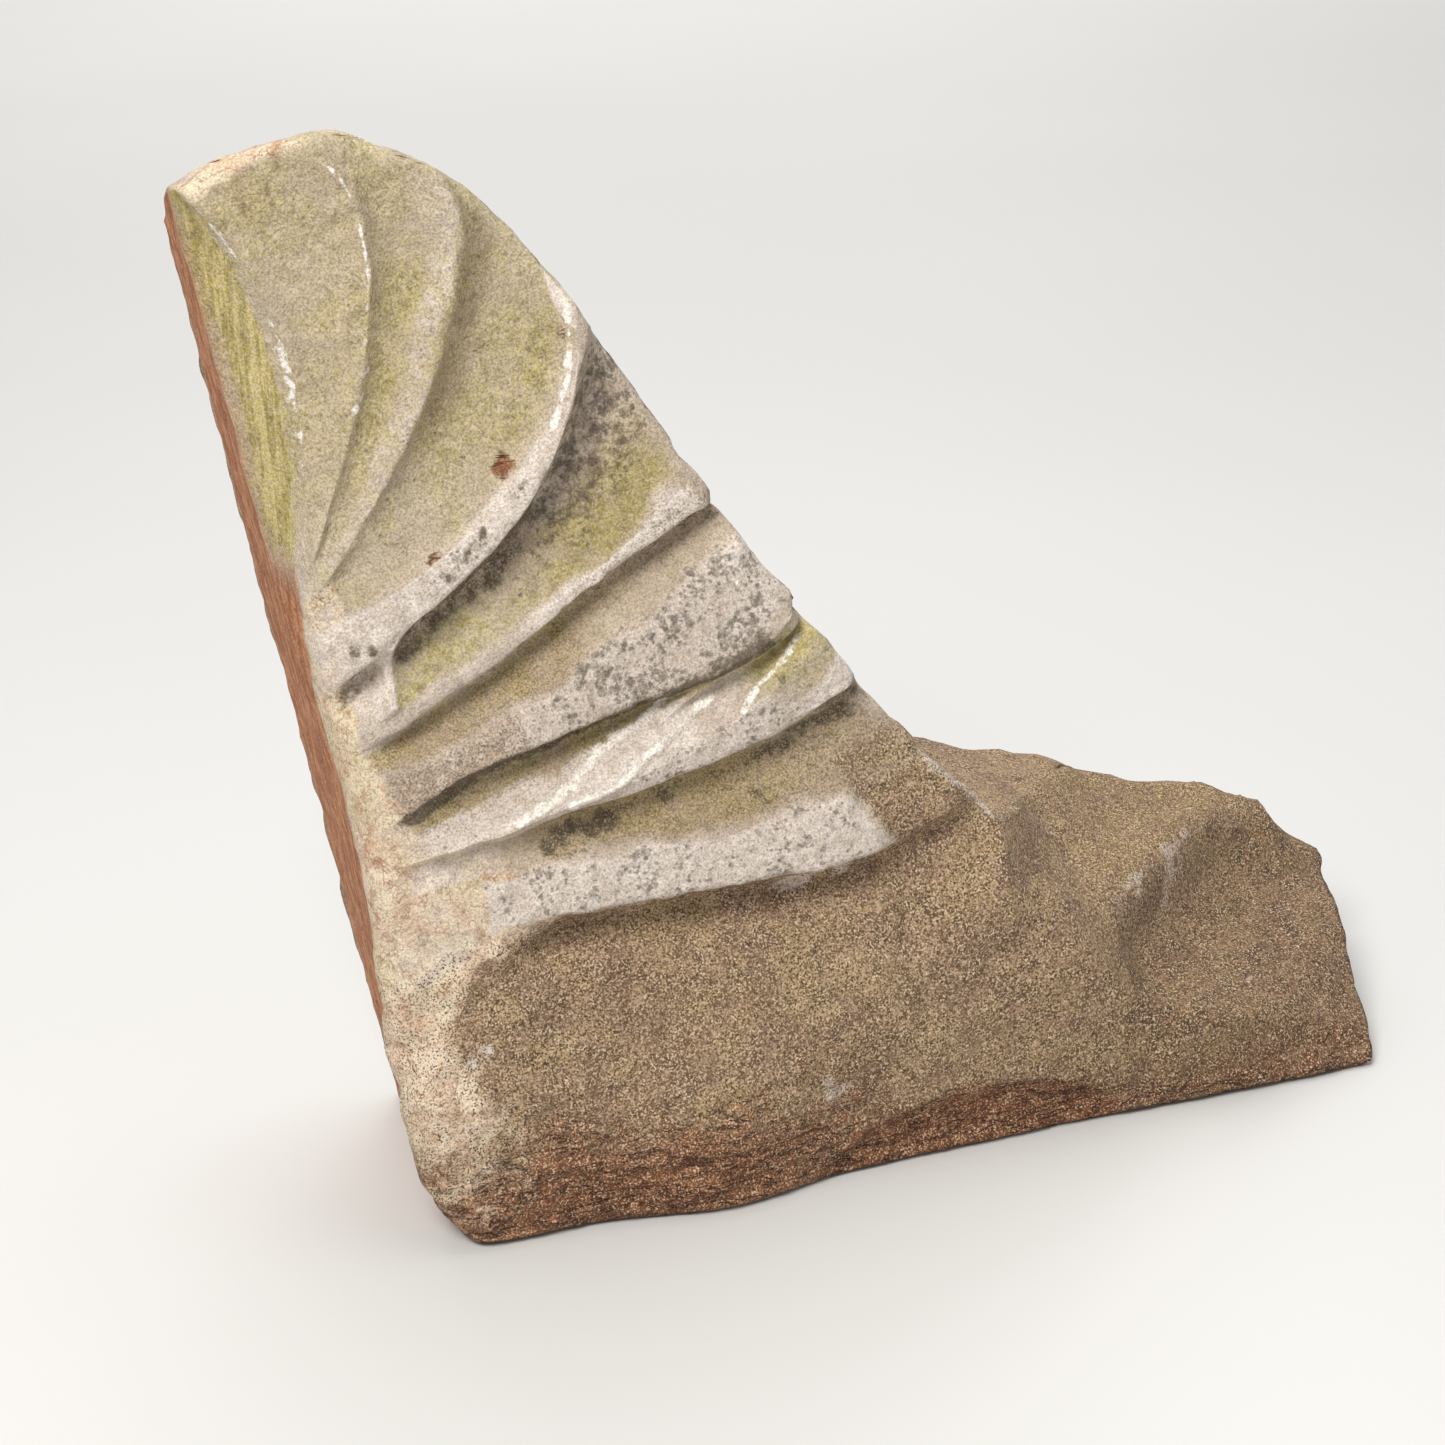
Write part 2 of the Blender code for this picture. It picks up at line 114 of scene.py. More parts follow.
# Width of the plain strip along the joint at these row shares
MARGIN_LEVELS = (0, .5, .95, 1.4, 2.2, 2.9, 3.3, 5.0, 6.2, 7.2, 8.2, 9.7, 10.2, 11.2, 12.5)
MARGIN_WIDTHS = (.04, .055, .085, .08, .078, .068, .036, .028, .026, .018, .014, .012, .022, .02, .016)

# Thin raised ridges on the carving: height, half width, brightness, then points as row and column shares.
# A row share of 5.3 lies three tenths of the way from edge 5 to edge 6.
RIDGES = [
    (.0024, .0032, .78, ((5.02, .18), (5.02, .3), (5.08, .4), (5.3, .48), (5.48, .6), (5.85, .69))),
    (.002, .0032, .7, ((4.0, .36), (4.0, .44), (4.05, .5), (4.6, .6), (4.65, .7), (4.5, .76))),
    (.002, .0016, .74, ((4.02, .76), (4.2, .8), (4.35, .9), (4.45, .985))),
    (.002, .0022, .62, ((3.2, .84), (3.05, .92), (3.02, .99))),
    (.0012, .0016, .6, ((6.5, .885), (6.7, .93), (6.9, .96))),
    (.001, .0014, .6, ((2.08, .2), (2.3, .24), (2.62, .275))),
    (.0012, .0028, .5, ((12.95, .3), (12.98, .45), (13.02, .56))),
    (.002, .0018, .66, ((13.02, .56), (13.02, .66), (13.04, .76), (13.04, .86), (13.0, .96))),
    (.0018, .0042, .22, ((12.03, .16), (12.04, .35), (12.06, .55), (12.06, .8), (12.05, .98))),
    (.0024, .0024, .8, ((11.02, .62), (11.04, .72), (11.05, .82), (11.08, .92), (11.06, .99))),
]

# Kinds of weathering, with painted shade and shadow among them, that the stone's vertices carry
MARKS = ("white", "cream", "moss", "dark", "speck", "rust", "brown", "ridge", "joint", "shade")
# Weathering of the carved front, and painted shade and shadow in its channels and undercuts. Each patch:
# strength, from and to row share, from and to column share, and how soft its ends are along rows and along
# columns, .2 and .1 where left out
WEATHERING_AND_SHADE = {
    "white": (
        (.95, 10.12, 11.03, .3, .66, .14, .08), (.55, 10.3, 11.05, .62, .9, .2, .08),
        (.72, 9.98, 11.0, .0, .34, .1, .1), (.7, 6.15, 7.0, .36, 1.02, .1, .06),
        (.38, 6.13, 7.0, .1, .38, .1, .08), (.8, 3.05, 4.02, .5, .84, .1, .1),
        (.75, 3.0, 3.5, .84, 1.02, .1, .06), (.95, 3.9, 5.45, .4, .68, .3, .08),
        (.8, 4.4, 5.5, .08, .42, .3, .1), (.5, 3.0, 4.4, .06, .42, .3, .1),
        (.55, 2.1, 3.0, .03, .28, .3, .12), (.5, .8, 1.1, .34, .52, .12, .05),
        (.6, .6, .82, .66, .72, .12, .03), (.6, .62, .86, .755, .785, .12, .02),
        (.4, .6, 1.9, .02, .17, .4, .06), (.95, 9.05, 10.1, .128, .18, .2, .025),
        (.5, 11.0, 11.5, .0, .1, .2, .06), (.42, 12.0, 12.4, .1, .98, .2, .06),
        (.95, 10.96, 11.22, .925, .985, .1, .03),
    ),
    "moss": (
        (.6, 11.06, 14.5, .05, 1.1, .15, .12), (.74, 11.06, 11.42, .25, .95, .3, .15),
        (.7, 12.3, 13.0, .3, .85, .4, .15), (.75, 11.1, 13.0, .08, .34, .3, .1),
        (.85, 9.02, 9.62, .16, .96), (.8, 7.1, 7.75, .02, .66, .2, .2), (.35, 7.1, 7.75, .6, 1.0, .2, .2),
        (.8, 5.25, 5.9, .1, .95, .2, .08), (.85, 3.9, 5.6, .8, 1.02, .2, .08),
        (.6, 3.4, 4.1, .88, 1.02, .2, .06), (.7, 2.15, 3.0, .28, .8, .15, .1),
        (.45, 2.1, 3.0, .76, .98, .15, .1), (.35, 2.1, 3.6, .05, .3, .15, .1),
        (.5, 4.2, 5.5, .46, .66, .3, .1), (.3, 0, 2.0, .0, .14, .3, .05),
    ),
    # dark lichen, and painted shadow in the undercuts under the rim and the bands, in the small pocket and
    # beside a rib of the lobes
    "dark": (
        (.85, 9.7, 10.0, .22, .66, .2, .08), (.55, 9.35, 10.0, .58, .97, .3, .1),
        (.62, 9.45, 10.0, .16, .5, .24, .08), (.62, 9.5, 9.99, .03, .12, .16, .05),
        (.4, 7.72, 8.0, .12, 1.02), (.35, 7.35, 8.0, .62, 1.02, .3, .15),
        (.95, 5.74, 6.13, .09, .9, .14, .08), (.7, 2.7, 3.0, .74, 1.0, .2, .08),
        (.15, .2, 3.0, .86, 1.0, .5, .05), (.35, 8.3, 9.0, .86, 1.02, .2, .06), (.22, 6.1, 7.0, .4, 1.02),
        (.22, 12.0, 12.25, .3, .98), (.2, 11.8, 12.1, .3, .98),
    ),
    "speck": (
        (1.0, 6.1, 7.1, .42, 1.05, .1, .1), (.5, 6.1, 7.1, .1, .45, .1, .1),
        (.8, 1.0, 2.05, .17, .85, .1, .1), (.9, 3.0, 4.1, .55, .92, .1, .1),
        (.75, 10.0, 11.0, .3, .6, .1, .1), (1.0, 9.2, 10.0, .45, 1.05), (.4, 7.3, 8.0, .55, 1.05),
        (.65, 2.0, 3.0, .3, 1.0), (.45, 11.1, 14.1, .0, 1.1), (.45, 3.9, 5.4, .05, .45),
        (.35, 4.9, 6.1, .1, .9),
    ),
    "rust": (
        (.95, 11.07, 11.24, .515, .56, .08, .02), (.6, 11.02, 11.12, .31, .345, .06, .03),
        (.45, 11.12, 11.2, .86, .91, .06, .02), (.25, 13.4, 14.0, .86, 1.0, .3, .1),
        (.22, 3.5, 6.2, .0, .07, .3, .03),
    ),
    "brown": (
        (1.0, .5, 2.1, .865, 1.1, .3, .03), (.8, 1.9, 2.5, .86, 1.1, .3, .03),
        (.4, 7.5, 9.0, .62, 1.02, .4, .1), (.5, 9.6, 10.0, .2, .6), (.5, 6.0, 7.0, .08, .38),
        (.4, 2.1, 3.0, .28, .98), (.35, 7.05, 7.7, .05, .6), (.3, 5.2, 6.1, .1, .6),
        (.12, 11.0, 14.0, .1, .95, .5, .1),
    ),
    # painted shade: darker colour in the channels, under the rim and beside a rib of the lobes
    "shade": (
        (.55, 11.72, 12.02, .45, .97, .14, .1), (.4, 9.1, 10.0, .45, 1.02, .3, .1),
        (.34, 7.05, 7.95, .1, 1.02), (.34, 2.05, 3.0, .16, 1.02), (.3, 6.1, 7.0, .3, .9),
        (.3, 5.0, 6.1, .1, .95),
    ),
}
# Leading dark spots: row and column share, half height and half width in shares, and strength
SPOTS = ((2.4, .315, .16, .012, 1.1), (2.52, .342, .2, .013, 1.1), (2.6, .372, .2, .013, 1.1),
         (2.42, .395, .16, .013, 1.0), (2.5, .43, .24, .018, 1.1), (2.62, .55, .14, .012, .8),
         (2.35, .7, .12, .012, .7), (10.34, .085, .12, .012, .9), (10.22, .115, .12, .01, .9),
         (10.62, .39, .16, .013, .9), (10.75, .44, .14, .012, .9), (10.45, .335, .12, .01, .8))

# Colours of the stone and of what has grown or settled on it, and a tint for painted shade
PATINA_DARK, PATINA_PALE, PATINA_DULL = (.47, .388, .31), (.6, .512, .43), (.37, .295, .215)
OLIVE_PALE, OLIVE_DARK = (.425, .35, .145), (.275, .228, .085)
BEVEL_PALE, BEVEL_DARK, BEVEL_STREAK = (.37, .292, .095), (.245, .195, .055), (.51, .41, .17)
CRUST_DARK, CRUST_PALE, CRUST_BLOT = (.225, .135, .084), (.335, .215, .12), (.138, .082, .048)
CRUST_GRAIN, CRUST_PIT, CRUST_OLIVE = (.5, .365, .235), (.115, .068, .04), (.33, .235, .11)
CRUST_SHADE, CRUST_LICHEN = (.16, .096, .055), (.34, .245, .095)
STAIN_DARK, STAIN_PALE, STAIN_GRAIN = (.15, .052, .022), (.32, .145, .068), (.5, .3, .18)
JOINT_DARK, JOINT_PALE, JOINT_BLOT = (.32, .115, .05), (.52, .24, .118), (.215, .082, .04)
JOINT_GRAIN, CRACK = (.6, .385, .24), (.07, .028, .014)
CREAM_DARK, CREAM_PALE, CREAM_BLOT = (.6, .45, .315), (.72, .605, .465), (.42, .245, .15)
CREAM_OLIVE, CREAM_GRAIN, CREAM_VEIN = (.52, .44, .22), (.5, .33, .22), (.27, .125, .07)
WHITE_PALE, WHITE_DULL, BRIGHT = (.675, .595, .525), (.52, .435, .36), (.86, .8, .72)
# the dark lichen colour also stands for painted shadow in the undercuts
DARK_LICHEN_AND_SHADOW, SPECK, SHADE_TINT = (.1, .076, .05), (.13, .115, .088), (.6, .52, .45)
CRYSTAL, PORE = (.64, .5, .35), (.06, .04, .026)
FLOOR_DARK, FLOOR_PALE = (.6, .59, .57), (.64, .63, .61)

FLOOR_REACH = 9
# Lights: name, place, where each points, size, power and colour
LIGHTS = (("key", (-1.3, -1.5, 2.4), (0, 0, .2), 1.4, 78, (1, .985, .96)),
          ("fill", (1.9, -1.6, 1.3), (0, 0, .2), 2.4, 10, (.97, .985, 1)),
          ("top", (.1, .7, 2.8), (0, 0, .2), 2.4, 36, (1, 1, 1)),
          ("far", (1.2, 5.2, 3.6), (1.2, 5.3, 0), 5.0, 190, (1, 1, 1)))
# Camera place and angles
EYE = (-0.5388, -1.4547, 0.862)
TURN = math.radians(17.846)
PITCH = math.radians(22.0)
ROLL = math.radians(2.0)


def smooth(t):
    """Even step from 0 to 1."""
    t = np.clip(t, 0.0, 1.0)
    return t * t * (3.0 - 2.0 * t)


def ramp(value, start, width):
    """Even step from 0 to 1 over the given width."""
    return smooth((value - start) / width)


def window(v, low, high, soft):
    """1 between low and high, with soft ends."""
    return smooth((v - low) / soft + .5) * smooth((high - v) / soft + .5)


def lattice(i, j, k):
    """A fixed value from -1 to 1 for each whole-numbered place."""
    h = (i * 73856093) ^ (j * 19349663) ^ (k * 83492791)
    h = (h & 0xffffffff).astype(np.uint64)
    h = ((h ^ (h >> np.uint64(15))) * np.uint64(2246822519)) & np.uint64(0xffffffff)
    h = ((h ^ (h >> np.uint64(13))) * np.uint64(3266489917)) & np.uint64(0xffffffff)
    h = h ^ (h >> np.uint64(16))
    return h.astype(float) / 2147483648.0 - 1.0


def noise(points, size, seed=0):
    """Smooth unevenness from -1 to 1, with features of about the given size."""
    q = np.asarray(points, float) / size + seed * 7.31 + 100.0
    i = np.floor(q).astype(np.int64)
    f = q - i
    f = f * f * (3 - 2 * f)
    total = 0
    for a in (0, 1):
        for b in (0, 1):
            for c in (0, 1):
                weight = (np.abs(1 - a - f[:, 0]) * np.abs(1 - b - f[:, 1]) * np.abs(1 - c - f[:, 2]))
                total = total + weight * lattice(i[:, 0] + a, i[:, 1] + b, i[:, 2] + c)
    return total


def layered(points, size, seed=0, layers=3):
    """Noise with finer and finer features."""
    return sum(noise(points, size / 2 ** k, seed + 3 * k) / 1.8 ** k for k in range(layers))


def bezier(guides, t):
    """Points on a cubic curve, in metres."""
    g = np.asarray(guides, float) * np.array([LENGTH, HEIGHT])
    t = np.asarray(t, float)[..., None]
    u = 1.0 - t
    return u ** 3 * g[0] + 3 * t * u * u * g[1] + 3 * t * t * u * g[2] + t ** 3 * g[3]


def left_side(z):
    """Front left edge: rounded toe, then a slight outward lean."""
    h = np.asarray(z, float) / HEIGHT
    return LENGTH * (-.007 - .058 * (1 - np.exp(-h / .059)) - .034 * ramp(h, .287, .338))


def joint_face(z):
    """Dressed joint on the left, leaning out as it rises."""
    return LENGTH * (-.0085 - .168 * np.asarray(z, float) / HEIGHT)


def coons(low, high, left, right):
    """Fill a patch from its four sides."""
    u = np.linspace(0, 1, low.shape[0])[None, :, None]
    v = np.linspace(0, 1, left.shape[0])[:, None, None]
    ruled = (1 - v) * low[None] + v * high[None] + (1 - u) * left[:, None] + u * right[:, None]
    corners = ((1 - u) * (1 - v) * low[0] + u * (1 - v) * low[-1]
               + (1 - u) * v * high[0] + u * v * high[-1])
    return ruled - corners


def wave(x, z, seed):
    """Low swells of a roughly dressed face, between -1 and 1."""
    total = 0
    for k in range(1, 5):
        a = 2.4 * k + seed
        total = total + np.sin(x * 23 * k + 3.1 * np.sin(z * 17 + a)) * np.cos(z * 19 * k + a) / k
    return total / 2.1


def field(x, z, size, seed, layers=2):
    """Layered noise over a grid of places in X and Z."""
    flat = np.stack([x, z, x * 0], -1).reshape(-1, 3)
    return layered(flat, size, seed, layers).reshape(x.shape)


def outline_to(points, line, values=None):
    """Distance from each point to a broken line, and the value along the line if values are given."""
    a, b = line[:-1], line[1:]
    d = b - a
    length = np.maximum((d * d).sum(1), 1e-12)
    flat = points.reshape(-1, 2)
    best = np.full(len(flat), 1e9)
    found = np.zeros(len(flat))
    for k in range(len(a)):
        t = np.clip(((flat - a[k]) @ d[k]) / length[k], 0, 1)
        away = np.hypot(*(flat - a[k] - t[:, None] * d[k]).T)
        nearer = away < best
        best = np.where(nearer, away, best)
        if values is not None:
            found = np.where(nearer, values[k] + t * (values[k + 1] - values[k]), found)
    best = best.reshape(points.shape[:-1])
    return best if values is None else (best, found.reshape(points.shape[:-1]))


def rounding(distance, radius):
    """How far a face falls back near its edge."""
    t = np.clip(1 - distance / np.maximum(radius, 1e-6), 0, 1)
    return radius * (1 - np.sqrt(1 - t * t))


def carved_edge(k, t):
    """Points of one carved edge. On the right the spur runs in close under the band above it."""
    line = bezier(EDGES[k][0], t)
    if k == SPUR:
        band = bezier(EDGES[k + 1][0], t)
        way = np.gradient(band, axis=0)
        below = np.stack([way[:, 1], -way[:, 0]], 1) / np.hypot(*way.T)[:, None]
        line += (band + SPUR_GAP * below - line) * ramp(t, .6, .18)[:, None]
    return line


def silhouette(rough):
    """The broken slope and the rounded top, with small bumps and notches of the given strength."""
    along = np.linspace(0, 1, STEPS_OUTLINE)
    line = np.vstack([bezier(SLOPE, along), bezier(CROWN, along)[1:]])
    way = np.gradient(line, axis=0)
    outward = np.stack([way[:, 1], -way[:, 0]], 1) / np.hypot(*way.T)[:, None]
    run = np.concatenate([[0], np.cumsum(np.hypot(*np.diff(line, axis=0).T))])
    bump = .0013 * layered(np.stack([run, run * 0, run * 0], 1), .022, 61, 3)
    for place, height, half in NOTCHES:
        bump += height * np.exp(-((run - place) / half) ** 2)
    bump *= rough * smooth(run / .03) * ramp(run[-1], run, .04)
    return line + outward * bump[:, None]


def front_grid(rough):
    """Front face as two patches that share one row, in X and Z, with the shares of rows and columns."""
    n, m = COLUMNS_TALL, COLUMNS_FOOT
    t = np.linspace(0, 1, n + 1)
    t = t - .035 * np.sin(2 * math.pi * t)
    rows, panel, share = [], [], []
    for k, (_, _, steps) in enumerate(EDGES):
        for j in range(max(steps, 1)):
            s = j / max(steps, 1)
            s = s - .5 * math.sin(2 * math.pi * s) / (2 * math.pi)
            a = carved_edge(k, t)
            if s > 0:
                a = (1 - s) * a + s * carved_edge(k + 1, t)
            rows.append(a)
            panel.append(k)
            share.append(s)
    rows = np.array(rows)
    ends = rows[:, -1].copy()
    line = silhouette(rough)
    for j in range(len(rows)):
        near = line[np.argmin(((line - ends[j]) ** 2).sum(1))]
        if 0 < j < len(rows) - 1:
            rows[j] += (near - ends[j]) * (t ** 4)[:, None]
            shift = left_side(rows[j, 0, 1]) - rows[j, 0, 0]
            rows[j, :, 0] += shift * (1 - t) ** 4
    first = rows[0]
    top = np.array(FOOT_TOP)
    u = np.linspace(0, 1, m + 1)[1:]
    at = np.interp(u, np.linspace(0, 1, len(top)), top[:, 0])
    foot_top = np.stack([at * LENGTH, np.interp(at, top[:, 0], top[:, 2]) * HEIGHT], 1)
    high = np.vstack([first, foot_top])
    v = np.linspace(0, 1, ROWS_FOOT + 1)
    v = v - .05 * np.sin(2 * math.pi * v)
    left_z = first[0, 1] * v
    left = np.stack([left_side(left_z), left_z], 1)
    left[-1] = first[0]
    right = np.stack([LENGTH * (.915 + .085 * v ** .7), foot_top[-1, 1] * np.sin(math.pi / 2 * v ** .8)], 1)
    low_x = np.interp(high[:, 0], [high[0, 0], high[-1, 0]], [left[0, 0], right[0, 0]])
    low = np.stack([low_x, np.zeros(len(high))], 1)
    foot = coons(low, high, left, right)
    foot[-1, :n + 1] = first
    return foot, rows, np.array(panel), np.array(share), v, t


def back_offset(foot, rows):
    """Where the same patches lie at the back: shifts in X and Z."""
    n = COLUMNS_TALL

    def left_shift(p):
        return np.stack([joint_face(p[:, 1]) - p[:, 0], np.zeros(len(p))], 1)
    left_foot = left_shift(foot[:, 0])
    left_tall = left_shift(rows[:, 0])
    high_tall = left_shift(rows[-1])
    ends = rows[:, -1]
    wide = np.vstack([ends[:1]] * 3 + [ends] + [ends[-1:]] * 3)
    eased = sum(wide[k:k + len(ends)] for k in range(7)) / 7
    d = np.gradient(eased, axis=0)
    normal = np.stack([-d[:, 1], d[:, 0]], 1) / np.hypot(*d.T)[:, None]
    k = np.linspace(0, 1, len(ends))
    along = np.linspace(0, 1, n + 1)
    amount = BACK_INSET * (.35 + .65 * smooth(k / .12) + .5 * ramp(k, .55, .3))
    right_tall = normal * amount[:, None]
    corner = np.array([0.0, -BACK_INSET])
    corner[0] = joint_face(ends[-1, 1] + corner[1]) - ends[-1, 0]
    blend = ramp(k, .85, .15)[:, None]
    right_tall = right_tall * (1 - blend) + corner * blend
    drop_leaf = along ** 3 * corner[1]
    high_tall[:, 1] = drop_leaf
    high_tall[:, 0] = joint_face(rows[-1][:, 1] + drop_leaf) - rows[-1][:, 0]
    low_tall = left_tall[0] * (1 - along)[:, None] ** 2 + right_tall[0] * along[:, None] ** 2
    tall = coons(low_tall, high_tall, left_tall, right_tall)
    drop = np.zeros((COLUMNS_FOOT, 2))
    drop[:, 1] = -.01 * HEIGHT
    high = np.vstack([tall[0], drop])
    right = np.outer(np.linspace(0, 1, ROWS_FOOT + 1), drop[-1])
    low = np.zeros((len(high), 2))
    low[:, 0] = left_foot[0, 0] * (1 - np.linspace(0, 1, len(high))) ** 2
    return coons(low, high, left_foot, right), tall


def on_rows(rows, panel, share, t, points):
    """Points in X and Z for pairs of row share and column share."""
    level = panel + share
    path = []
    for q, c in points:
        x = [np.interp(c, t, rows[j, :, 0]) for j in range(len(rows))]
        z = [np.interp(c, t, rows[j, :, 1]) for j in range(len(rows))]
        path.append((np.interp(q, level, x), np.interp(q, level, z)))
    return np.array(path)


def curve_through(points, count=40):
    """A smooth line through the given points."""
    p = np.asarray(points, float)
    p = np.vstack([2 * p[0] - p[1], p, 2 * p[-1] - p[-2]])
    out = []
    for k in range(1, len(p) - 2):
        for u in np.linspace(0, 1, count // (len(p) - 3), endpoint=False):
            out.append(.5 * (2 * p[k] + (p[k + 1] - p[k - 1]) * u
                             + (2 * p[k - 1] - 5 * p[k] + 4 * p[k + 1] - p[k + 2]) * u ** 2
                             + (3 * p[k] - p[k - 1] - 3 * p[k + 1] + p[k + 2]) * u ** 3))
    out.append(p[-2])
    return np.array(out)


def evened(values, passes):
    """Values evened out over their rows and columns."""
    for _ in range(passes):
        wide = np.pad(values, ((1, 1), (0, 0)), mode="edge")
        values = .25 * wide[:-2] + .5 * values + .25 * wide[2:]
        wide = np.pad(values, ((0, 0), (1, 1)), mode="edge")
        values = .25 * wide[:, :-2] + .5 * values + .25 * wide[:, 2:]
    return values


def margin_at(level):
    """Width of the plain broken strip left along the joint, at each row share."""
    return np.interp(level, MARGIN_LEVELS, MARGIN_WIDTHS)


def front_depth(foot, rows, panel, share, v, t):
    """How far back the front face lies, with all carving."""
    n = COLUMNS_TALL
    x, z = rows[..., 0], rows[..., 1]
    level = (panel + share)[:, None]
    column = t[None, :]
    base = TOP_LEAN * z / HEIGHT
    stand = RELIEF * np.array([e[1] for e in EDGES] + [0.0])
    # where the spur has run in under the band above, the hollow is the strip below it
    closed = ramp(column, .6, .16)
    low_edge, high_edge = panel[:, None], np.minimum(panel + 1, len(EDGES) - 1)[:, None]

    def per_row(values):
        return np.array([*values, 0])[panel][:, None] * np.ones_like(x)

    a = stand[low_edge] * (1 - .8 * closed * (low_edge == SPUR))
    b = stand[high_edge] * (1 - .8 * closed * (high_edge == SPUR))
    hollow = np.where(low_edge == SPUR, per_row(HOLLOWS) * (1 - closed), per_row(HOLLOWS))
    hollow = np.where(low_edge == SPUR - 1, hollow + .55 * CHANNEL_DEPTH * closed, hollow)
    drop = np.where(low_edge == SPUR, per_row(WALLS) * (1 - closed), per_row(WALLS))
    drop = np.where(low_edge == SPUR - 1, drop + .004 * closed, drop)
    s = share[:, None]
    out = (1 - s) * a + s * b
    skew = np.where(low_edge == 0, FOOT_SKEW, CHANNEL_SKEW)
    cut = hollow * np.sin(math.pi * s ** skew) ** np.where(low_edge == 0, 1.1, .8)
    cut *= np.where(low_edge == 0, .9, 1.0)
    # the lobes run out shallow where they narrow toward the joint
    edge = np.hypot(x - x[:, :1], z - z[:, :1])
    cut *= np.where(low_edge >= 11, .35 + .65 * ramp(edge, .02, .15), 1.0)
    wall = drop * ramp(s, .4, .42) * ramp(1.0, s, .07)
    ledge = per_row(LEDGES) * smooth(s / .08) * (1 - ramp(s, .15, .5))
    # the fascia is broken off before the slope, and the hollow runs out there
    broken_at = .384 - .02 * (level - 1.5) + .012 * field(x, z, .02, 17)
    lost = ramp(x / LENGTH, broken_at, .03) * (panel < 3)[:, None] * ramp(2.9, level, .4)
    out = out - lost * RELIEF * .8
    cut = cut * (1 - .55 * lost)
    wall = wall * (1 - lost)
    ledge = ledge * (1 - lost)
    # walls fade toward the joint margin, and the one under the bead shows only on the right
    fade = ramp(column, .1, .22)
    wall = wall * np.where(panel[:, None] == 2, ramp(column, .45, .3), 1.0) * fade
    ledge = ledge * fade
    width = margin_at(level)
    ragged = field(x, z, .026, 3)
    plain = smooth((edge - (.4 + .22 * ragged) * width) / width)
    # the deep hollow starts farther from the joint, and gently
    start = np.interp(level, (0, .8, 1.2), (.95, .7, .4))
    run = np.interp(level, (0, .8, 1.2, 4.0, 9.0, 9.6), (1.3, 1.0, 1.0, 1.8, 2.2, 1.0))
    sunk = smooth((edge - (start + .25 * ragged) * width) / (run * width))
    sharp = -out * plain + (cut + wall + ledge) * sunk
    # short stub that joins the rim to the fillet below, and the small pocket left of it
    stub = window(level, 9.05, 10.1, .25) * window(column, .135, .175, .03)
    sharp -= stub * .008
    pocket = window(level, 9.45, 9.97, .18) * window(column, .035, .115, .05)
    sharp += pocket * .005
    # weathering: arrises worn unevenly, with small chips
    wear = field(x, z, .022, 12)
    mild, soft = evened(sharp, 3), evened(sharp, 16)
    worn = np.clip(.5 + .45 * wear, .15, 1.2) + .55 * window(level, .7, 1.25, .3)
    relief = mild + (soft - mild) * worn
    proud = np.clip(soft - mild, 0, None)
    relief += proud * 1.2 * smooth((field(x, z, .012, 21) - .35) / .4)
    depth_tall = base + relief
    # the foot: a nearly upright face that rolls back into its top
    fx = foot[..., 0]
    top = np.array(FOOT_TOP)
    y_top = np.interp(fx[-1], top[:, 0] * LENGTH, top[:, 1] * DEPTH)
    y_top[:n + 1] = depth_tall[0]
    roll = ramp(fx[-1] / LENGTH, .49, .11)[None, :]
    rise = v[:, None]
    upright = rise ** 5
    slant = np.clip((rise - .55) / .45, 0, 1) ** 1.5
    far = ramp(fx[-1] / LENGTH, .8, .2)[None, :]
    shape = upright * (1 - roll) + roll * ((1 - far) * slant + far * rise)
    depth_foot = y_top[None, :] * shape - RELIEF * .4 * np.sin(math.pi * rise) * (1 - roll)
    return depth_foot, depth_tall


def chop(points, at, normal, soft):
    """Cut points beyond a plane back onto it, with a soft crease."""
    normal = np.asarray(normal, float)
    normal = normal / np.linalg.norm(normal)
    over = (points - np.asarray(at, float)) @ normal
    soft_over = .5 * (over + np.sqrt(over * over + soft * soft))
    soft_over = np.where(over > -4 * soft, soft_over, 0)
    return points - soft_over[..., None] * normal


def beyond_crest(points):
    """How far points lie beyond the crest across the right end of the foot, seen in plan."""
    x, y = points[:, 0] - CREST_START[0] * LENGTH, points[:, 1] - CREST_START[1] * DEPTH
    return x * CREST_WAY[1] - y * CREST_WAY[0]


def crest(points):
    """Lift the crest across the right end of the foot, and hollow out what lies below it."""
    x, y, z = points.T
    share = beyond_crest(points) / SCOOP_WIDTH
    dip = smooth(share / .28) * (1 - ramp(share, .34, .66))
    lift = np.exp(-((share + .06) / .16) ** 2)
    there = ramp(x / LENGTH, .6, .12) * smooth(z / HEIGHT / .06) * (1 - ramp(y / DEPTH, .56, .24))
    amount = (FOOT_SCOOP * dip - FOOT_RIDGE * lift) * there
    return points - amount[:, None] * np.array(FACET_NORMAL)


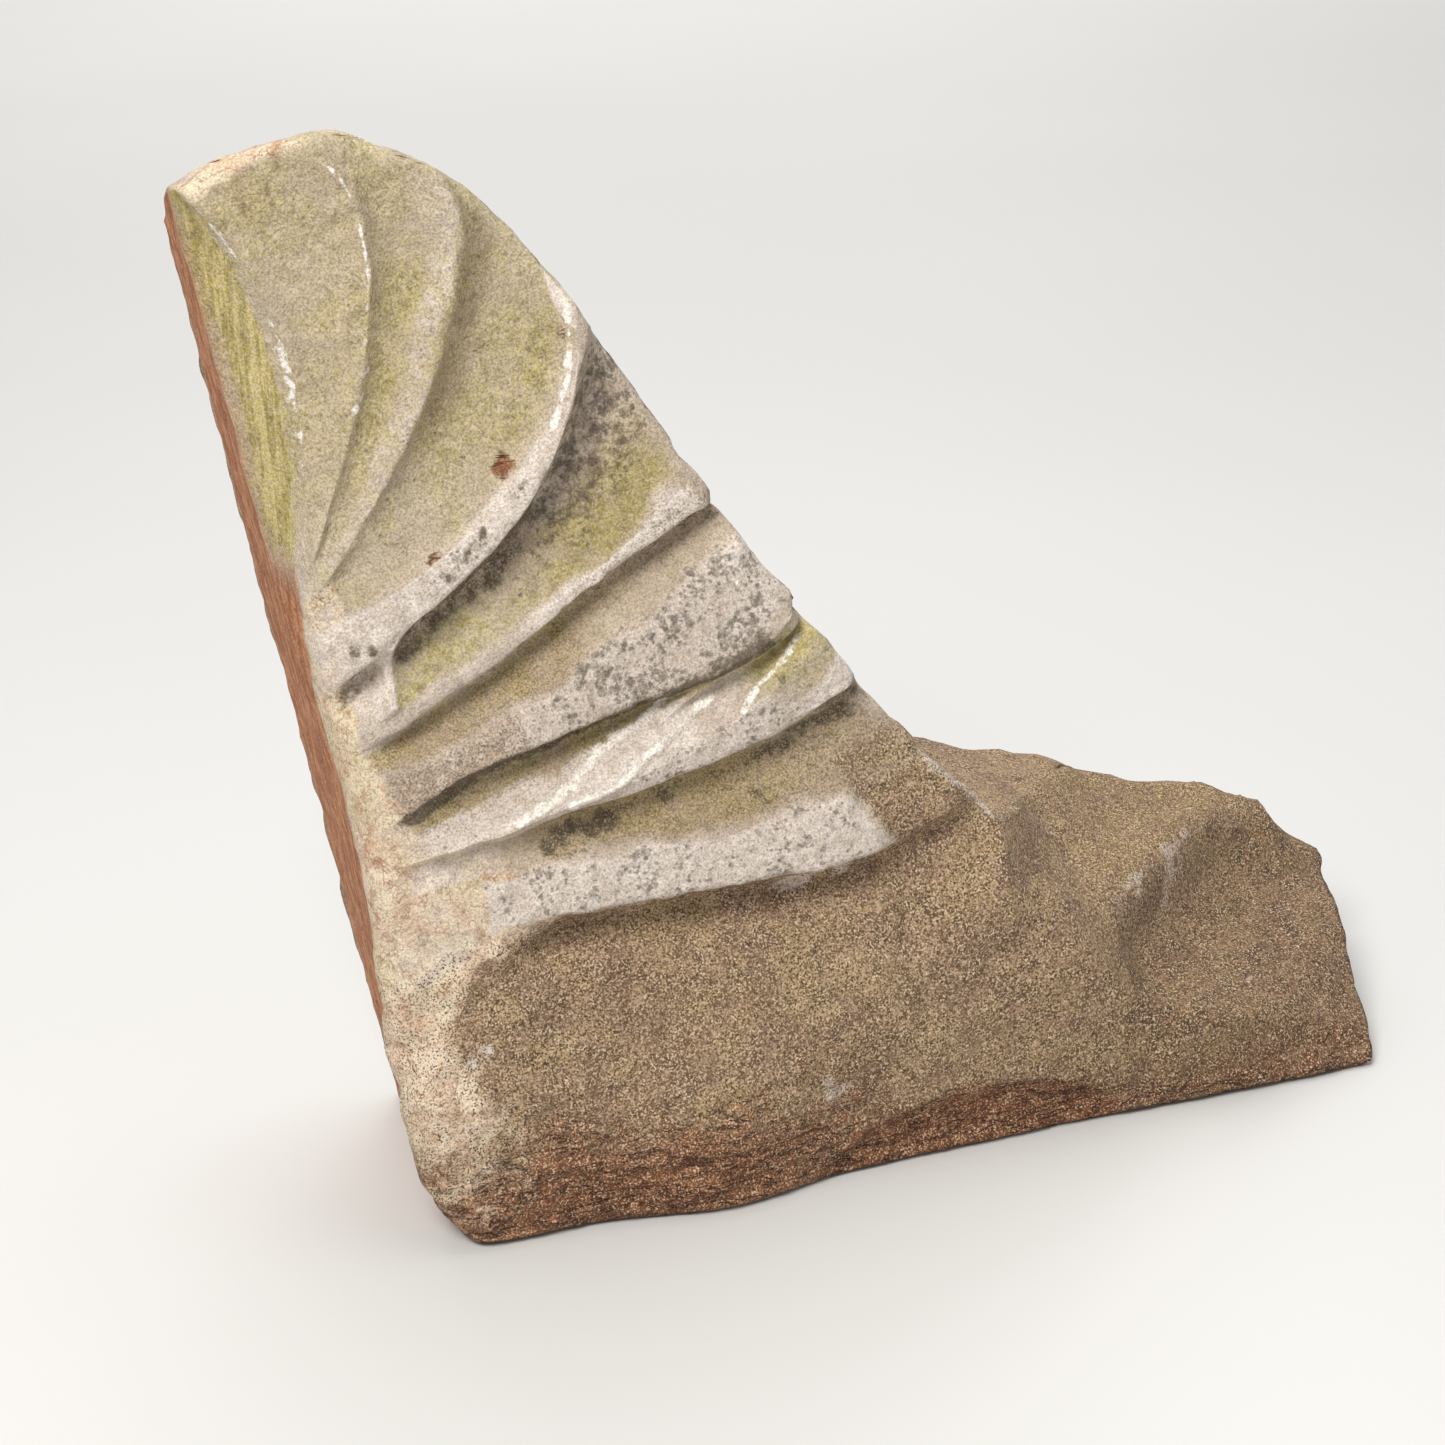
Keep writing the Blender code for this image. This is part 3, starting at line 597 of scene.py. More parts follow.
def ring_ids():
    """Numbers of the grid's vertices, its faces, and the loop around it, split into named stretches."""
    n, m, R = COLUMNS_TALL, COLUMNS_FOOT, ROWS_FOOT
    T = sum(max(e[2], 1) for e in EDGES) - 1
    wide = n + m + 1

    def foot_id(j, i):
        return j * wide + i

    def tall_id(j, i):
        return foot_id(R, i) if j == 0 else (R + 1) * wide + (j - 1) * (n + 1) + i

    def cells(step):
        found = []
        for j in range(0, R, step):
            for i in range(0, n + m, step):
                found.append((foot_id(j, i), foot_id(j, i + step),
                              foot_id(j + step, i + step), foot_id(j + step, i)))
        for j in range(0, T, step):
            for i in range(0, n, step):
                found.append((tall_id(j, i), tall_id(j, i + step),
                              tall_id(j + step, i + step), tall_id(j + step, i)))
        return found

    parts = {
        "bottom": [foot_id(0, i) for i in range(n + m)],
        "right": [foot_id(j, n + m) for j in range(R)],
        "shelf": [foot_id(R, i) for i in range(n + m, n, -1)],
        "slope": [tall_id(j, n) for j in range(T)],
        "leaf": [tall_id(T, i) for i in range(n, 0, -1)],
        "joint": [tall_id(j, 0) for j in range(T, 0, -1)] + [foot_id(j, 0) for j in range(R, 0, -1)],
    }
    return cells, parts


def marks(foot, rows, panel, share, v, t):
    """Where each kind of weathering and of painted shade lies, from 0 to 1, first for the foot, then for the
    tall part.
    """
    x, z = rows[..., 0], rows[..., 1]
    level = (panel + share)[:, None] * np.ones_like(x)
    column = t[None, :] * np.ones_like(x)
    inward = np.hypot(x - x[:, :1], z - z[:, :1])
    drift = .1 * field(x, z, .03, 41)
    level_here = level + drift
    column_here = column + .25 * drift

    def at(strength, l0, l1, c0, c1, level_soft=.2, column_soft=.1):
        return strength * window(level_here, l0, l1, level_soft) * window(column_here, c0, c1, column_soft)

    laid = {name: np.maximum.reduce([at(*patch) for patch in patches])
            for name, patches in WEATHERING_AND_SHADE.items()}
    # the fascia's white ends raggedly, and the fillet's grows toward the right
    frayed = level + .12 * field(x, z, .013, 47)
    fascia = .74 * window(frayed, 1.0, 2.0, .14) * window(column_here, .17, .855, .02)
    fillet = at(.3, 8.02, 8.98, .08, .5, .3, .12) + at(.98, 7.9, 9.0, .48, .98, .3, .12)
    white = np.maximum.reduce([laid["white"], fascia, fillet])
    ragged = field(x, z, .032, 43, 3)
    width = margin_at(level) * (1 + .3 * ragged)
    cream = ramp(1.3, inward / width, .7) * window(level, -.5, 11.9, .5)
    spots = np.zeros_like(level)
    for l0, c0, half_level, half_column, deep in SPOTS:
        away = ((level - l0) / half_level) ** 2 + ((column - c0) / half_column) ** 2
        spots = np.maximum(spots, deep * np.exp(-.6 * away))
    dark = np.maximum(laid["dark"], spots)
    brown = np.maximum(laid["brown"], window(level_here, -.5, .97, .35))
    ridge = np.zeros_like(level)
    raised = np.zeros_like(level)
    broken = field(x, z, .011, 51)
    for height, half, bright, points in RIDGES:
        line = curve_through(on_rows(rows, panel, share, t, points))
        along = np.linspace(0, 1, len(line))
        away, where = outline_to(rows, line, along)
        away = away + .0007 * broken
        taper = smooth(where / .15) * ramp(1, where, .15)
        form = np.exp(-(away / half) ** 2)
        raised = np.maximum(raised, height * form * taper * (.7 + .4 * broken))
        ridge = np.maximum(ridge, bright * np.exp(-(away / (half * .95)) ** 2) * (.25 + .75 * taper))
    leaf_edge = outline_to(rows, rows[-1])
    pale = ramp(.003, leaf_edge, .003) * window(column, .14, .97, .1)
    pale = pale * (.4 + .24 * window(column, .38, .62, .1) + .24 * window(column, .84, .97, .06)
                   + .25 * broken)
    ridge = np.maximum(ridge, pale)
    slope_edge = outline_to(rows, rows[:, -1])
    arris = ramp(.008, slope_edge, .008) * window(level, .1, 2.1, .5)
    white = np.maximum(white, .6 * arris)
    crown = ramp(.01 + .005 * broken, slope_edge, .007) * ramp(level, 12.9, .4)
    cream = np.maximum(cream, crown)
    moss = laid["moss"] * (1 - .6 * crown)
    tall = dict(laid, white=white, cream=cream, moss=moss, dark=dark, brown=brown, ridge=ridge,
                joint=np.zeros_like(white))

    fx, fz = foot[..., 0], foot[..., 1]
    n = COLUMNS_TALL
    h = fz / HEIGHT
    g = fx / LENGTH
    inward = fx - fx[:, :1]
    ragged = field(fx, fz, .032, 43, 3)
    width = np.interp(h, (0, .06, .12, .17, .21), (.05, .058, .056, .046, .04)) * (1 + .32 * ragged)
    cream_foot = smooth((1.3 * width - inward) / (.8 * width)) * (.34 + .66 * ramp(h, .05, .1))
    joins = ramp(v, .86, .14)[:, None]
    ground = {name: np.zeros_like(fx) for name in MARKS}
    ground["cream"] = cream_foot
    ground["speck"] += .12
    ground["brown"] += 1.0
    low = 1 - ramp(h - .045, .03 * ragged, .115)
    ground["rust"] = np.maximum(.84 * low * (1 - ramp(g, .22, .32)),
                                .5 * (1 - ramp(h, .02, .07)))
    ground["rust"] *= 1 - .3 * cream_foot
    lip = UNDERCUT_HEIGHT * np.sin(math.pi * np.clip((g - .315) / .345, 0, 1)) ** .6
    under = smooth((lip - fz + .004 * ragged) / .012 + .3) * (lip > .002)
    ground["rust"] = np.maximum(ground["rust"], .95 * under)
    # painted shade: darker low on the foot, in the undercut under its lip, and toward its right end
    ground["shade"] = np.maximum.reduce([.6 * low * ramp(inward, .02, .02), .75 * under,
                                         .3 * ramp(g, .46, .14) + .18 * ramp(g, .62, .1)])
    ground["moss"] = .42 * np.exp(-((g - .27) / .2) ** 2 - ((h - .2) / .06) ** 2)
    jagged = field(fx, fz, .009, 45)
    for place, height, size in CHIPS:
        away = np.hypot(fx - place, (fz - height) * 1.7) / size + .9 * jagged
        pale = .85 * min(1, .0062 / size)
        ground["white"] = np.maximum(ground["white"], pale * np.exp(-np.clip(away, 0, None) ** 2))
    for name in ground:
        row = tall[name][0]
        full = np.concatenate([row, np.full(COLUMNS_FOOT, row[-1])])
        keep = smooth((np.arange(n + COLUMNS_FOOT + 1) - n) / 10.0)
        mixed = full * (1 - keep) + ground[name][-1] * keep
        ground[name] = ground[name] * (1 - joins) + mixed[None] * joins
    return ground, tall, raised


def pack(foot_part, tall_part):
    """Both patches as one list of vertices, with the row that they share taken once."""
    return np.vstack([foot_part.reshape(-1, foot_part.shape[-1]),
                      tall_part[1:].reshape(-1, tall_part.shape[-1])])


def add_mark(tags, name, amount):
    """Raise one kind of mark to the given amount where it is lower."""
    k = MARKS.index(name)
    tags[:, k] = np.maximum(tags[:, k], amount)


def round_edges(front, parts, uneven):
    """Let the front fall back at its edges, more along the joint's lower part."""
    flat = front[:, [0, 2]]
    bottom, right, slope, leaf, joint = (parts[k] for k in ("bottom", "right", "slope", "leaf", "joint"))
    hinge = ramp(flat[:, 1] / HEIGHT, .5, .13)
    joint_radius = (MARGIN_ROUNDING + (EDGE_ROUNDING - MARGIN_ROUNDING) * hinge) * (1 + .25 * uneven)
    falls = [rounding(outline_to(flat, flat[line]), radius) for line, radius in (
        ((joint + bottom[:1])[::2] + bottom[:1], joint_radius), (leaf[::2] + joint[:1], EDGE_ROUNDING),
        (slope[::2] + leaf[:1], EDGE_ROUNDING * (1 + .45 * uneven)))]
    front[:, 1] += np.maximum.reduce(falls)
    front[:, 1] += rounding(outline_to(flat, flat[bottom[::4] + right[:1]]), BASE_ROUNDING)


def worn(front, parts, rim_line):
    """The front with uneven carving, rounded edges and the rough foot. Also the unevenness of its edges, and
    the places along and up, as shares, that its vertices had before the foot's end was cut."""
    level_points = front * np.array([1, 0, 1])

    def uneven_at(size, seed, flatter=1):
        return layered(level_points * np.array([flatter, 0, 1]), size, seed, 2)

    inside = smooth(outline_to(front[:, [0, 2]], rim_line) / .014) * ramp(front[:, 2], .05, .04)
    inside *= 1 - ramp(front[:, 0] / LENGTH, .5, .05)
    wobble = .0016 * uneven_at(.024, 31) * inside
    front[:, 0] += wobble * .5
    front[:, 2] += wobble
    uneven = uneven_at(.018, 71)
    round_edges(front, parts, uneven)
    x, z = front[:, 0] / LENGTH, front[:, 2] / HEIGHT
    low = 1 - ramp(z, .16, .08)
    front[:, 1] += SURFACE_WAVE * wave(front[:, 0], front[:, 2], 0) * (.35 + .65 * low)
    swell = np.exp(-((x - .235) / .085) ** 2) * FRONT_SWELL
    front[:, 1] -= (swell + BASE_ROUNDING * 1.3) * (1 - ramp(z, .02, .2))
    along = np.clip((x - .315) / .345, 0, 1)
    lip = UNDERCUT_HEIGHT * np.sin(math.pi * along) ** .6 * (1 + .22 * uneven_at(.045, 73))
    below = smooth((lip - front[:, 2]) / (UNDERCUT_DEPTH * 2.2))
    front[:, 1] += UNDERCUT_DEPTH * below * smooth(front[:, 2] / (UNDERCUT_DEPTH * 1.5))
    # roughness of the foot: broad lumps, shallow pits, and thin flaking layers low on the left
    rough_foot = (1 - ramp(z, .27, .06)) * smooth(front[:, 2] / .01)
    front[:, 1] += .0022 * rough_foot * uneven_at(.06, 75)
    front[:, 1] += .0016 * rough_foot * ramp(uneven_at(.016, 77), .25, .5)
    layer = front[:, 2] / .0095 + .9 * uneven_at(.02, 79, .35)
    flaking = (1 - ramp(z, .09, .07)) * (1 - ramp(x, .2, .22)) * smooth(front[:, 2] / .01)
    front[:, 1] += .0022 * flaking * (layer - np.floor(layer)) ** 2
    facet = chop(front, np.array(FACET_AT) * (LENGTH, DEPTH, HEIGHT), FACET_NORMAL, SURFACE_WAVE * .48)
    front += (facet - front) * ramp(x, .585, .07)[:, None]
    lifted = crest(front)
    lifted[:, 2] = np.maximum(lifted[:, 2], 0)
    return lifted, uneven, x, z


def mark_far_end(mark, front, uneven, x, z):
    """The crest gets a painted pale highlight, the hollow beyond it is darkened with painted shade and some
    of the dark colour, and lichen covers the slope above, whose top is darkened with painted shade.
    """
    beyond = beyond_crest(front)
    crest_highlight = np.exp(-((beyond - .001 - .002 * uneven) / .0045) ** 2) * (.5 + .35 * uneven)
    far_end = ramp(x, .6, .1) * (1 - ramp(z, .3, .04))
    slope_top = ramp(z, .15, .05) * (1 - smooth((beyond + .002) / .01))
    # painted highlight along the crest, painted shade in the hollow beyond it and over the slope's top
    for name, amount in (("white", .75 * crest_highlight * (1 - ramp(front[:, 1] / DEPTH, .5, .3))),
                         ("shade", ramp(beyond, .002, .014)), ("moss", .62 * slope_top),
                         ("dark", .25 * ramp(beyond, .002, .014)), ("shade", .45 * slope_top)):
        add_mark(mark, name, amount * far_end)


def back_face(front, loop):
    """The nearly flat back, with one vertex behind each of the front's."""
    foot, rows = front_grid(0.0)[:2]
    place = pack(foot, rows) + pack(*back_offset(foot, rows))
    back = front.copy()
    back[:, 0] = place[:, 0]
    back[:, 2] = np.maximum(place[:, 1], 0)
    back[:, 1] = DEPTH - TOP_THINNING * ramp(back[:, 2] / HEIGHT, .3, .7)
    flat = back[:, [0, 2]]
    back[:, 1] -= rounding(outline_to(flat, flat[loop[::2] + loop[:1]]), EDGE_ROUNDING)
    back[:, 1] += SURFACE_WAVE * wave(back[:, 0], back[:, 2], 2.0)
    return back


def sides(near, far, mark, stretch):
    """Rings of vertices from the front's edge to the back's, and their marks."""
    p = near[:, [0, 2]]
    d = np.roll(p, -3, 0) - np.roll(p, 3, 0)
    normal = np.stack([d[:, 1], -d[:, 0]], 1) / np.maximum(np.hypot(*d.T), 1e-9)[:, None]
    dressed = 1.0 * np.isin(stretch, ("leaf", "joint"))
    broken = 1.0 * np.isin(stretch, ("slope", "leaf"))
    rough = 1.0 * (stretch == "slope")
    start_of_slope = np.argmax(stretch == "slope")
    broken[start_of_slope] = rough[start_of_slope] = 0
    # small chips of the front edges run out a little way down the sides
    chipped = near[:, 1] - sum(np.roll(near[:, 1], k) for k in range(-7, 8)) / 15
    rings, ring_marks = [], []
    for step in range(1, STEPS_SIDE):
        if step <= STEPS_BEVEL:
            s = JOINT_BEVEL * step / STEPS_BEVEL
        else:
            s = JOINT_BEVEL + (1 - JOINT_BEVEL) * (step - STEPS_BEVEL) / (STEPS_SIDE - STEPS_BEVEL)
        ring = (1 - s) * near + s * far
        eased = (1 - broken * (1 - s ** BREAK_CURVE / s))[:, None] * s
        fall = (1 - eased) * near + eased * far
        ring[:, [0, 2]] = fall[:, [0, 2]]
        ring[:, 1] -= (1 - s) * chipped * smooth(s / .08)
        flush = joint_face(ring[:, 2])
        if s < JOINT_BEVEL:
            share_in = s / JOINT_BEVEL
            flush = (1 - share_in) * near[:, 0] + share_in * flush
        ring[:, 0] = np.where(dressed > 0, flush, ring[:, 0])
        uneven = rough * SURFACE_WAVE * 1.2 * math.sin(math.pi * s)
        uneven = uneven * np.sin(np.arange(len(near)) * .12 + s * 7)
        ring[:, [0, 2]] += normal * uneven[:, None]
        rings.append(ring)
        side = mark * (1 - smooth(s / .05))
        ring_h = ring[:, 2] / HEIGHT
        bevel = dressed * (1 - ramp(s, JOINT_BEVEL * .92, .05)) * ramp(ring_h, .6, .06)
        crown_side = ramp(ring_h, .8, .06) * (1 - dressed)
        add_mark(side, "moss", bevel)
        add_mark(side, "joint", dressed * (1 - bevel))
        add_mark(side, "brown", (1 - .6 * crown_side) * (1 - dressed))
        # the front's painted shade runs down the sides, fading toward the back
        add_mark(side, "shade", mark[:, MARKS.index("shade")] * (1 - s) * (1 - dressed))
        add_mark(side, "cream", .46 * crown_side)
        ring_marks.append(side)
    return rings, ring_marks


def side_faces(loop, count, rings):
    """Faces between the rings, and from the last ring to the back's coarser grid."""
    size = len(loop)
    numbers = [loop] + [list(range(2 * count + k * size, 2 * count + (k + 1) * size)) for k in range(rings)]
    faces = []
    for a, b in zip(numbers[:-1], numbers[1:]):
        for k in range(size):
            q = (k + 1) % size
            faces.append((a[q], a[k], b[k], b[q]))
    last = numbers[-1]
    for k in range(0, size, 2):
        far = (k + 2) % size
        near, mid, end = last[k], last[k + 1], last[far]
        p0, p1 = count + loop[k], count + loop[far]
        faces += [(mid, near, p0), (end, mid, p1), (mid, p0, p1)]
    return faces


def block():
    """Vertices, faces and weathering marks of the whole block."""
    grid = front_grid(1.0)
    foot, rows = grid[:2]
    y_foot, y_tall = front_depth(*grid)
    ground, tall, raised = marks(*grid)
    depth = pack(y_foot[..., None], (y_tall - raised)[..., None])
    front = np.concatenate([pack(foot, rows), depth], 1)[:, [0, 2, 1]]
    mark = np.concatenate([pack(ground[k][..., None], tall[k][..., None]) for k in MARKS], 1)
    cells, parts = ring_ids()
    loop = [q for part in parts.values() for q in part]
    stretch = np.array([name for name, part in parts.items() for q in part])
    rim_line = np.vstack([rows[:, -1], rows[-1][::-1], rows[::-1, 0]])[::2]
    front, uneven, x, z = worn(front, parts, rim_line)
    mark_far_end(mark, front, uneven, x, z)
    back = back_face(front, loop)
    back_mark = np.zeros_like(mark)
    add_mark(back_mark, "brown", 1.0)
    add_mark(back_mark, "moss", .15)
    rings, ring_marks = sides(front[loop], back[loop], mark[loop], stretch)
    verts = np.vstack([front, back, *rings])
    tags = np.vstack([mark, back_mark, *ring_marks])
    count = len(front)
    faces = cells(1) + [tuple(count + q for q in reversed(cell)) for cell in cells(2)]
    faces += side_faces(loop, count, len(rings))

    # leave out the vertices that no face uses
    used = np.zeros(len(verts), bool)
    used[np.unique(np.concatenate([np.asarray(f) for f in faces]))] = True
    new = np.cumsum(used) - 1
    faces = [tuple(int(new[q]) for q in f) for f in faces]
    return verts[used], faces, tags[used]


def centred(points, solid_box):
    """Lay the block over the solid: same middle in plan, on the ground."""
    lo, hi = points.min(0), points.max(0)
    want_lo, want_hi = (np.array(c) for c in solid_box)
    return points - np.array([(lo[0] + hi[0]) / 2 - (want_lo[0] + want_hi[0]) / 2,
                              (lo[1] + hi[1]) / 2 - (want_lo[1] + want_hi[1]) / 2, lo[2] - want_lo[2]])


class Shader:
    """Small helper that joins shader nodes."""

    def __init__(self, name):
        self.material = bpy.data.materials.new(name)
        self.material.use_nodes = True
        self.tree = self.material.node_tree
        self.out = self.tree.nodes["Principled BSDF"]

    def node(self, kind, inputs, **settings):
        made = self.tree.nodes.new(kind)
        for key, value in settings.items():
            setattr(made, key, value)
        for key, value in inputs.items():
            self.put(made.inputs[key], value)
        return made.outputs

    def put(self, socket, value):
        if isinstance(value, bpy.types.NodeSocket):
            self.tree.links.new(value, socket)
        elif isinstance(value, tuple):
            socket.default_value = (*value, 1) if len(value) == 3 and socket.type == "RGBA" else value
        else:
            socket.default_value = value

    def surface(self, **inputs):
        for key, value in inputs.items():
            self.put(self.out.inputs[key.replace("_", " ")], value)

    def mark(self, name):
        return self.node("ShaderNodeAttribute", {}, attribute_name=name)["Fac"]

    def place(self):
        return self.node("ShaderNodeTexCoord", {})["Object"]

    def grow(self, vector, factors):
        return self.node("ShaderNodeVectorMath", {0: vector, 1: factors}, operation="MULTIPLY")[0]

    def noise(self, vector, scale, detail=3.0, rough=.5, warp=0.0):
        return self.node("ShaderNodeTexNoise", {"Vector": vector, "Scale": scale, "Detail": detail,
                                                "Roughness": rough, "Distortion": warp})["Fac"]

    def cells(self, vector, scale):
        return self.node("ShaderNodeTexVoronoi", {"Vector": vector, "Scale": scale}, feature="F1")["Distance"]

    def math(self, kind, a, b=0.0, clamp=False):
        return self.node("ShaderNodeMath", {0: a, 1: b}, operation=kind, use_clamp=clamp)[0]

    def times(self, a, b, clamp=False):
        return self.math("MULTIPLY", a, b, clamp)

    def plus(self, *values):
        total = values[0]
        for value in values[1:]:
            total = self.math("ADD", total, value)
        return total

    def swung(self, value, *swings):
        """A value moved up and down by noises about their middle, each by its own amount."""
        for noise, amount in swings:
            value = self.math("ADD", value, self.times(self.math("SUBTRACT", noise, .5), amount))
        return value

    def vein(self, value, width):
        """1 along the line where a noise is at its middle, 0 away from it."""
        return self.step(self.math("ABSOLUTE", self.math("SUBTRACT", value, .5)), width, .0)

    def step(self, value, low, high, to_low=0.0, to_high=1.0):
        return self.node("ShaderNodeMapRange", {"Value": value, "From Min": low, "From Max": high,
                                                "To Min": to_low, "To Max": to_high},
                         interpolation_type="SMOOTHSTEP")["Result"]

    def mix(self, share, a, b, kind="MIX"):
        return self.node("ShaderNodeMix", {6: a, 7: b, 0: share}, data_type="RGBA", blend_type=kind,
                         clamp_factor=True)[2]

    def layers(self, colour, *over):
        """A colour under further ones, each given as its share and its colour."""
        for share, upper in over:
            colour = self.mix(share, colour, upper)
        return colour


def lichen_and_patina(s, marks, tone):
    """Pale patina of the carving, with olive lichen over it."""
    patch, small, fine = tone["patch"], tone["small"], tone["fine"]
    patina = s.layers(PATINA_DARK, (s.step(patch, .35, .65), PATINA_PALE),
                      (s.step(small, .46, .72, 0.0, .6), PATINA_DULL))
    bevel = s.step(marks["moss"], .86, .98)
    olive = s.layers(OLIVE_PALE, (s.step(small, .35, .7), OLIVE_DARK),
                     (bevel, s.mix(s.step(small, .35, .7), BEVEL_PALE, BEVEL_DARK)),
                     (s.times(s.step(tone["streak"], .4, .6), bevel), BEVEL_STREAK))
    moss = s.times(marks["moss"], s.step(tone["spread"], .56, 1.0, .3, 1.3))
    moss = s.math("MAXIMUM", moss, s.step(marks["moss"], .86, .98, 0, .97))
    moss = s.times(moss, s.step(fine, .34, .6, .55, 1.15), clamp=True)
    return s.mix(moss, patina, olive)


def crust(s, marks, tone):
    """Brown crust of the rough parts."""
    small, fine, spread = tone["small"], tone["fine"], tone["spread"]
    lichen = s.times(s.step(marks["moss"], .2, .7, 0, .7), s.step(small, .42, .62))
    return s.layers(CRUST_DARK, (s.step(tone["patch"], .36, .64), CRUST_PALE),
                    (s.step(small, .44, .62), CRUST_BLOT), (s.step(fine, .5, .62, 0, .72), CRUST_GRAIN),
                    (s.step(fine, .48, .36, 0, .55), CRUST_PIT),
                    (s.times(s.step(spread, .7, .96), .36), CRUST_OLIVE),
                    (s.times(s.step(spread, .86, .64), .26), CRUST_SHADE), (lichen, CRUST_LICHEN))


def cream_break(s, place, tone):
    """Cream broken stone of the margin, with thin veins."""
    small, fine = tone["small"], tone["fine"]
    veins = s.vein(s.noise(place, 34.0, 4.0, .65, 1.2), .016)
    return s.layers(CREAM_DARK, (s.step(tone["patch"], .34, .6), CREAM_PALE),
                    (s.step(small, .5, .66, 0, .8), CREAM_BLOT),
                    (s.times(s.step(tone["spread"], .74, .98), .4), CREAM_OLIVE),
                    (s.step(fine, .52, .64, 0, .45), CREAM_GRAIN), (s.times(veins, .65), CREAM_VEIN))


def stone_material():
    """Coarse pale marble under brown and grey patina, olive lichen and black specks."""
    s = Shader("weathered_marble_stone")
    place = s.place()
    big = s.noise(place, 14.0, 3.0, .55)
    patch = s.noise(place, 42.0, 4.0, .6, .3)
    small = s.noise(place, 130.0, 4.0, .62)
    fine = s.noise(place, 420.0, 3.0, .65)
    grain = s.noise(place, 900.0, 1.0, .5)
    sand = s.noise(place, 480.0, 2.0, .6)
    streak = s.noise(s.grow(place, (300.0, 130.0, 30.0)), 1.0, 3.0, .6)
    spread = s.plus(s.times(patch, .9), s.times(big, .7))
    tone = {"patch": patch, "small": small, "fine": fine, "streak": streak, "spread": spread}
    marks = {name: s.mark(name) for name in MARKS}

    brown = s.times(marks["brown"], s.step(small, .2, .6, .8, 1.1), clamp=True)
    colour = s.mix(brown, lichen_and_patina(s, marks, tone), crust(s, marks, tone))

    # reddish stain with dark cracks between thin layers
    stain = s.layers(STAIN_DARK, (s.step(small, .35, .65), STAIN_PALE),
                     (s.step(fine, .55, .72, 0, .6), STAIN_GRAIN))
    rust = s.swung(marks["rust"], (small, 1.3))
    rust = s.times(s.step(rust, .15, .85), s.step(marks["rust"], .04, .3))
    crack = s.vein(s.noise(s.grow(place, (26.0, 26.0, 105.0)), 1.0, 3.0, .6, .6), .03)
    crack = s.times(crack, s.step(marks["rust"], .15, .6, 0, .8))
    colour = s.layers(colour, (rust, stain), (crack, CRACK))

    # dressed joint with streaks down it
    dressed = s.layers(JOINT_DARK, (s.step(streak, .4, .6), JOINT_PALE),
                       (s.step(small, .5, .68, 0, .6), JOINT_BLOT),
                       (s.step(fine, .55, .67, 0, .55), JOINT_GRAIN))
    colour = s.mix(marks["joint"], colour, dressed)

    # cream broken margin, then white marble on the fillets
    cream = s.swung(marks["cream"], (patch, 1.5), (small, 1.5))
    cream = s.times(s.step(cream, .22, .78), s.step(marks["cream"], .02, .22))
    colour = s.mix(cream, colour, cream_break(s, place, tone))
    white = s.swung(marks["white"], (small, 1.2), (patch, .8), (fine, .8))
    white = s.times(s.step(white, .26, .74), s.step(marks["white"], .05, .4))
    colour = s.mix(white, colour, s.mix(s.step(small, .38, .68), WHITE_PALE, WHITE_DULL))

    # dark lichen in blots, with painted shadow in the same dark colour in the undercuts under the rim and the
    # bands, and black specks of two sizes
    dark = s.swung(marks["dark"], (small, 1.8), (fine, .6))
    dark = s.times(s.step(dark, .26, .9), s.step(marks["dark"], .03, .3, 0, .86))
    colour = s.mix(dark, colour, DARK_LICHEN_AND_SHADOW)
    specked = s.times(marks["speck"], s.step(patch, .34, .62, .35, 1.0))
    for scale, reach, strength in ((150.0, 1.55, .58), (290.0, 1.6, .6)):
        speck = s.math("SUBTRACT", specked, s.times(s.cells(place, scale), reach))
        speck = s.step(s.swung(speck, (fine, 1.9)), .02, .5, 0, strength)
        colour = s.mix(speck, colour, SPECK)

    # bright ridges, broken into short lengths, and painted shade: the colour darkened by a tint where the
    # shade mark lies
    ridge = s.times(s.step(s.swung(marks["ridge"], (small, 2.1)), .42, .8), s.step(marks["ridge"], .05, .3))
    colour = s.mix(ridge, colour, BRIGHT)
    colour = s.mix(s.times(marks["shade"], .75), colour, s.mix(1.0, colour, SHADE_TINT, "MULTIPLY"))

    # crystal grain: the stone is lighter and darker from point to point, with some bright crystals
    speckle = s.plus(s.step(grain, .3, .7, .8, 1.18), s.step(sand, .3, .7, -.07, .07))
    colour = s.mix(1.0, colour, speckle, "MULTIPLY")
    crystals = s.times(s.step(grain, .52, .7, 0, .75), s.step(brown, 0, 1, .12, 1.0))
    crystals = s.times(crystals, s.step(small, .36, .62, .45, 1.25))
    pores = s.times(s.step(grain, .47, .32, 0, .85), s.step(brown, 0, 1, .1, 1.0))
    pores = s.times(pores, s.step(patch, .36, .62, .55, 1.15))
    s.surface(Base_Color=s.layers(colour, (crystals, CRYSTAL), (pores, PORE)),
              Roughness=s.step(ridge, 0, 1, .9, .74), Specular_IOR_Level=.3)

    streaked = s.times(s.step(marks["moss"], .8, 1), .4)
    height = s.plus(s.times(small, .6), s.times(fine, .45), s.times(sand, .25), s.times(streak, streaked),
                    s.times(patch, s.times(marks["brown"], .9)), s.times(crack, -.8))
    bump = s.node("ShaderNodeBump", {"Strength": .9, "Distance": .0024, "Height": height})
    s.surface(Normal=bump["Normal"])
    return s.material


def in_scene(name, data, axes=None, at=None):
    """A new object in the scene, turned to the given axes where they are given."""
    made = bpy.data.objects.new(name, data)
    if axes is not None:
        made.matrix_world = Matrix([[*(axis[i] for axis in axes), at[i]] for i in range(3)] + [[0, 0, 0, 1]])
    bpy.context.scene.collection.objects.link(made)
    return made


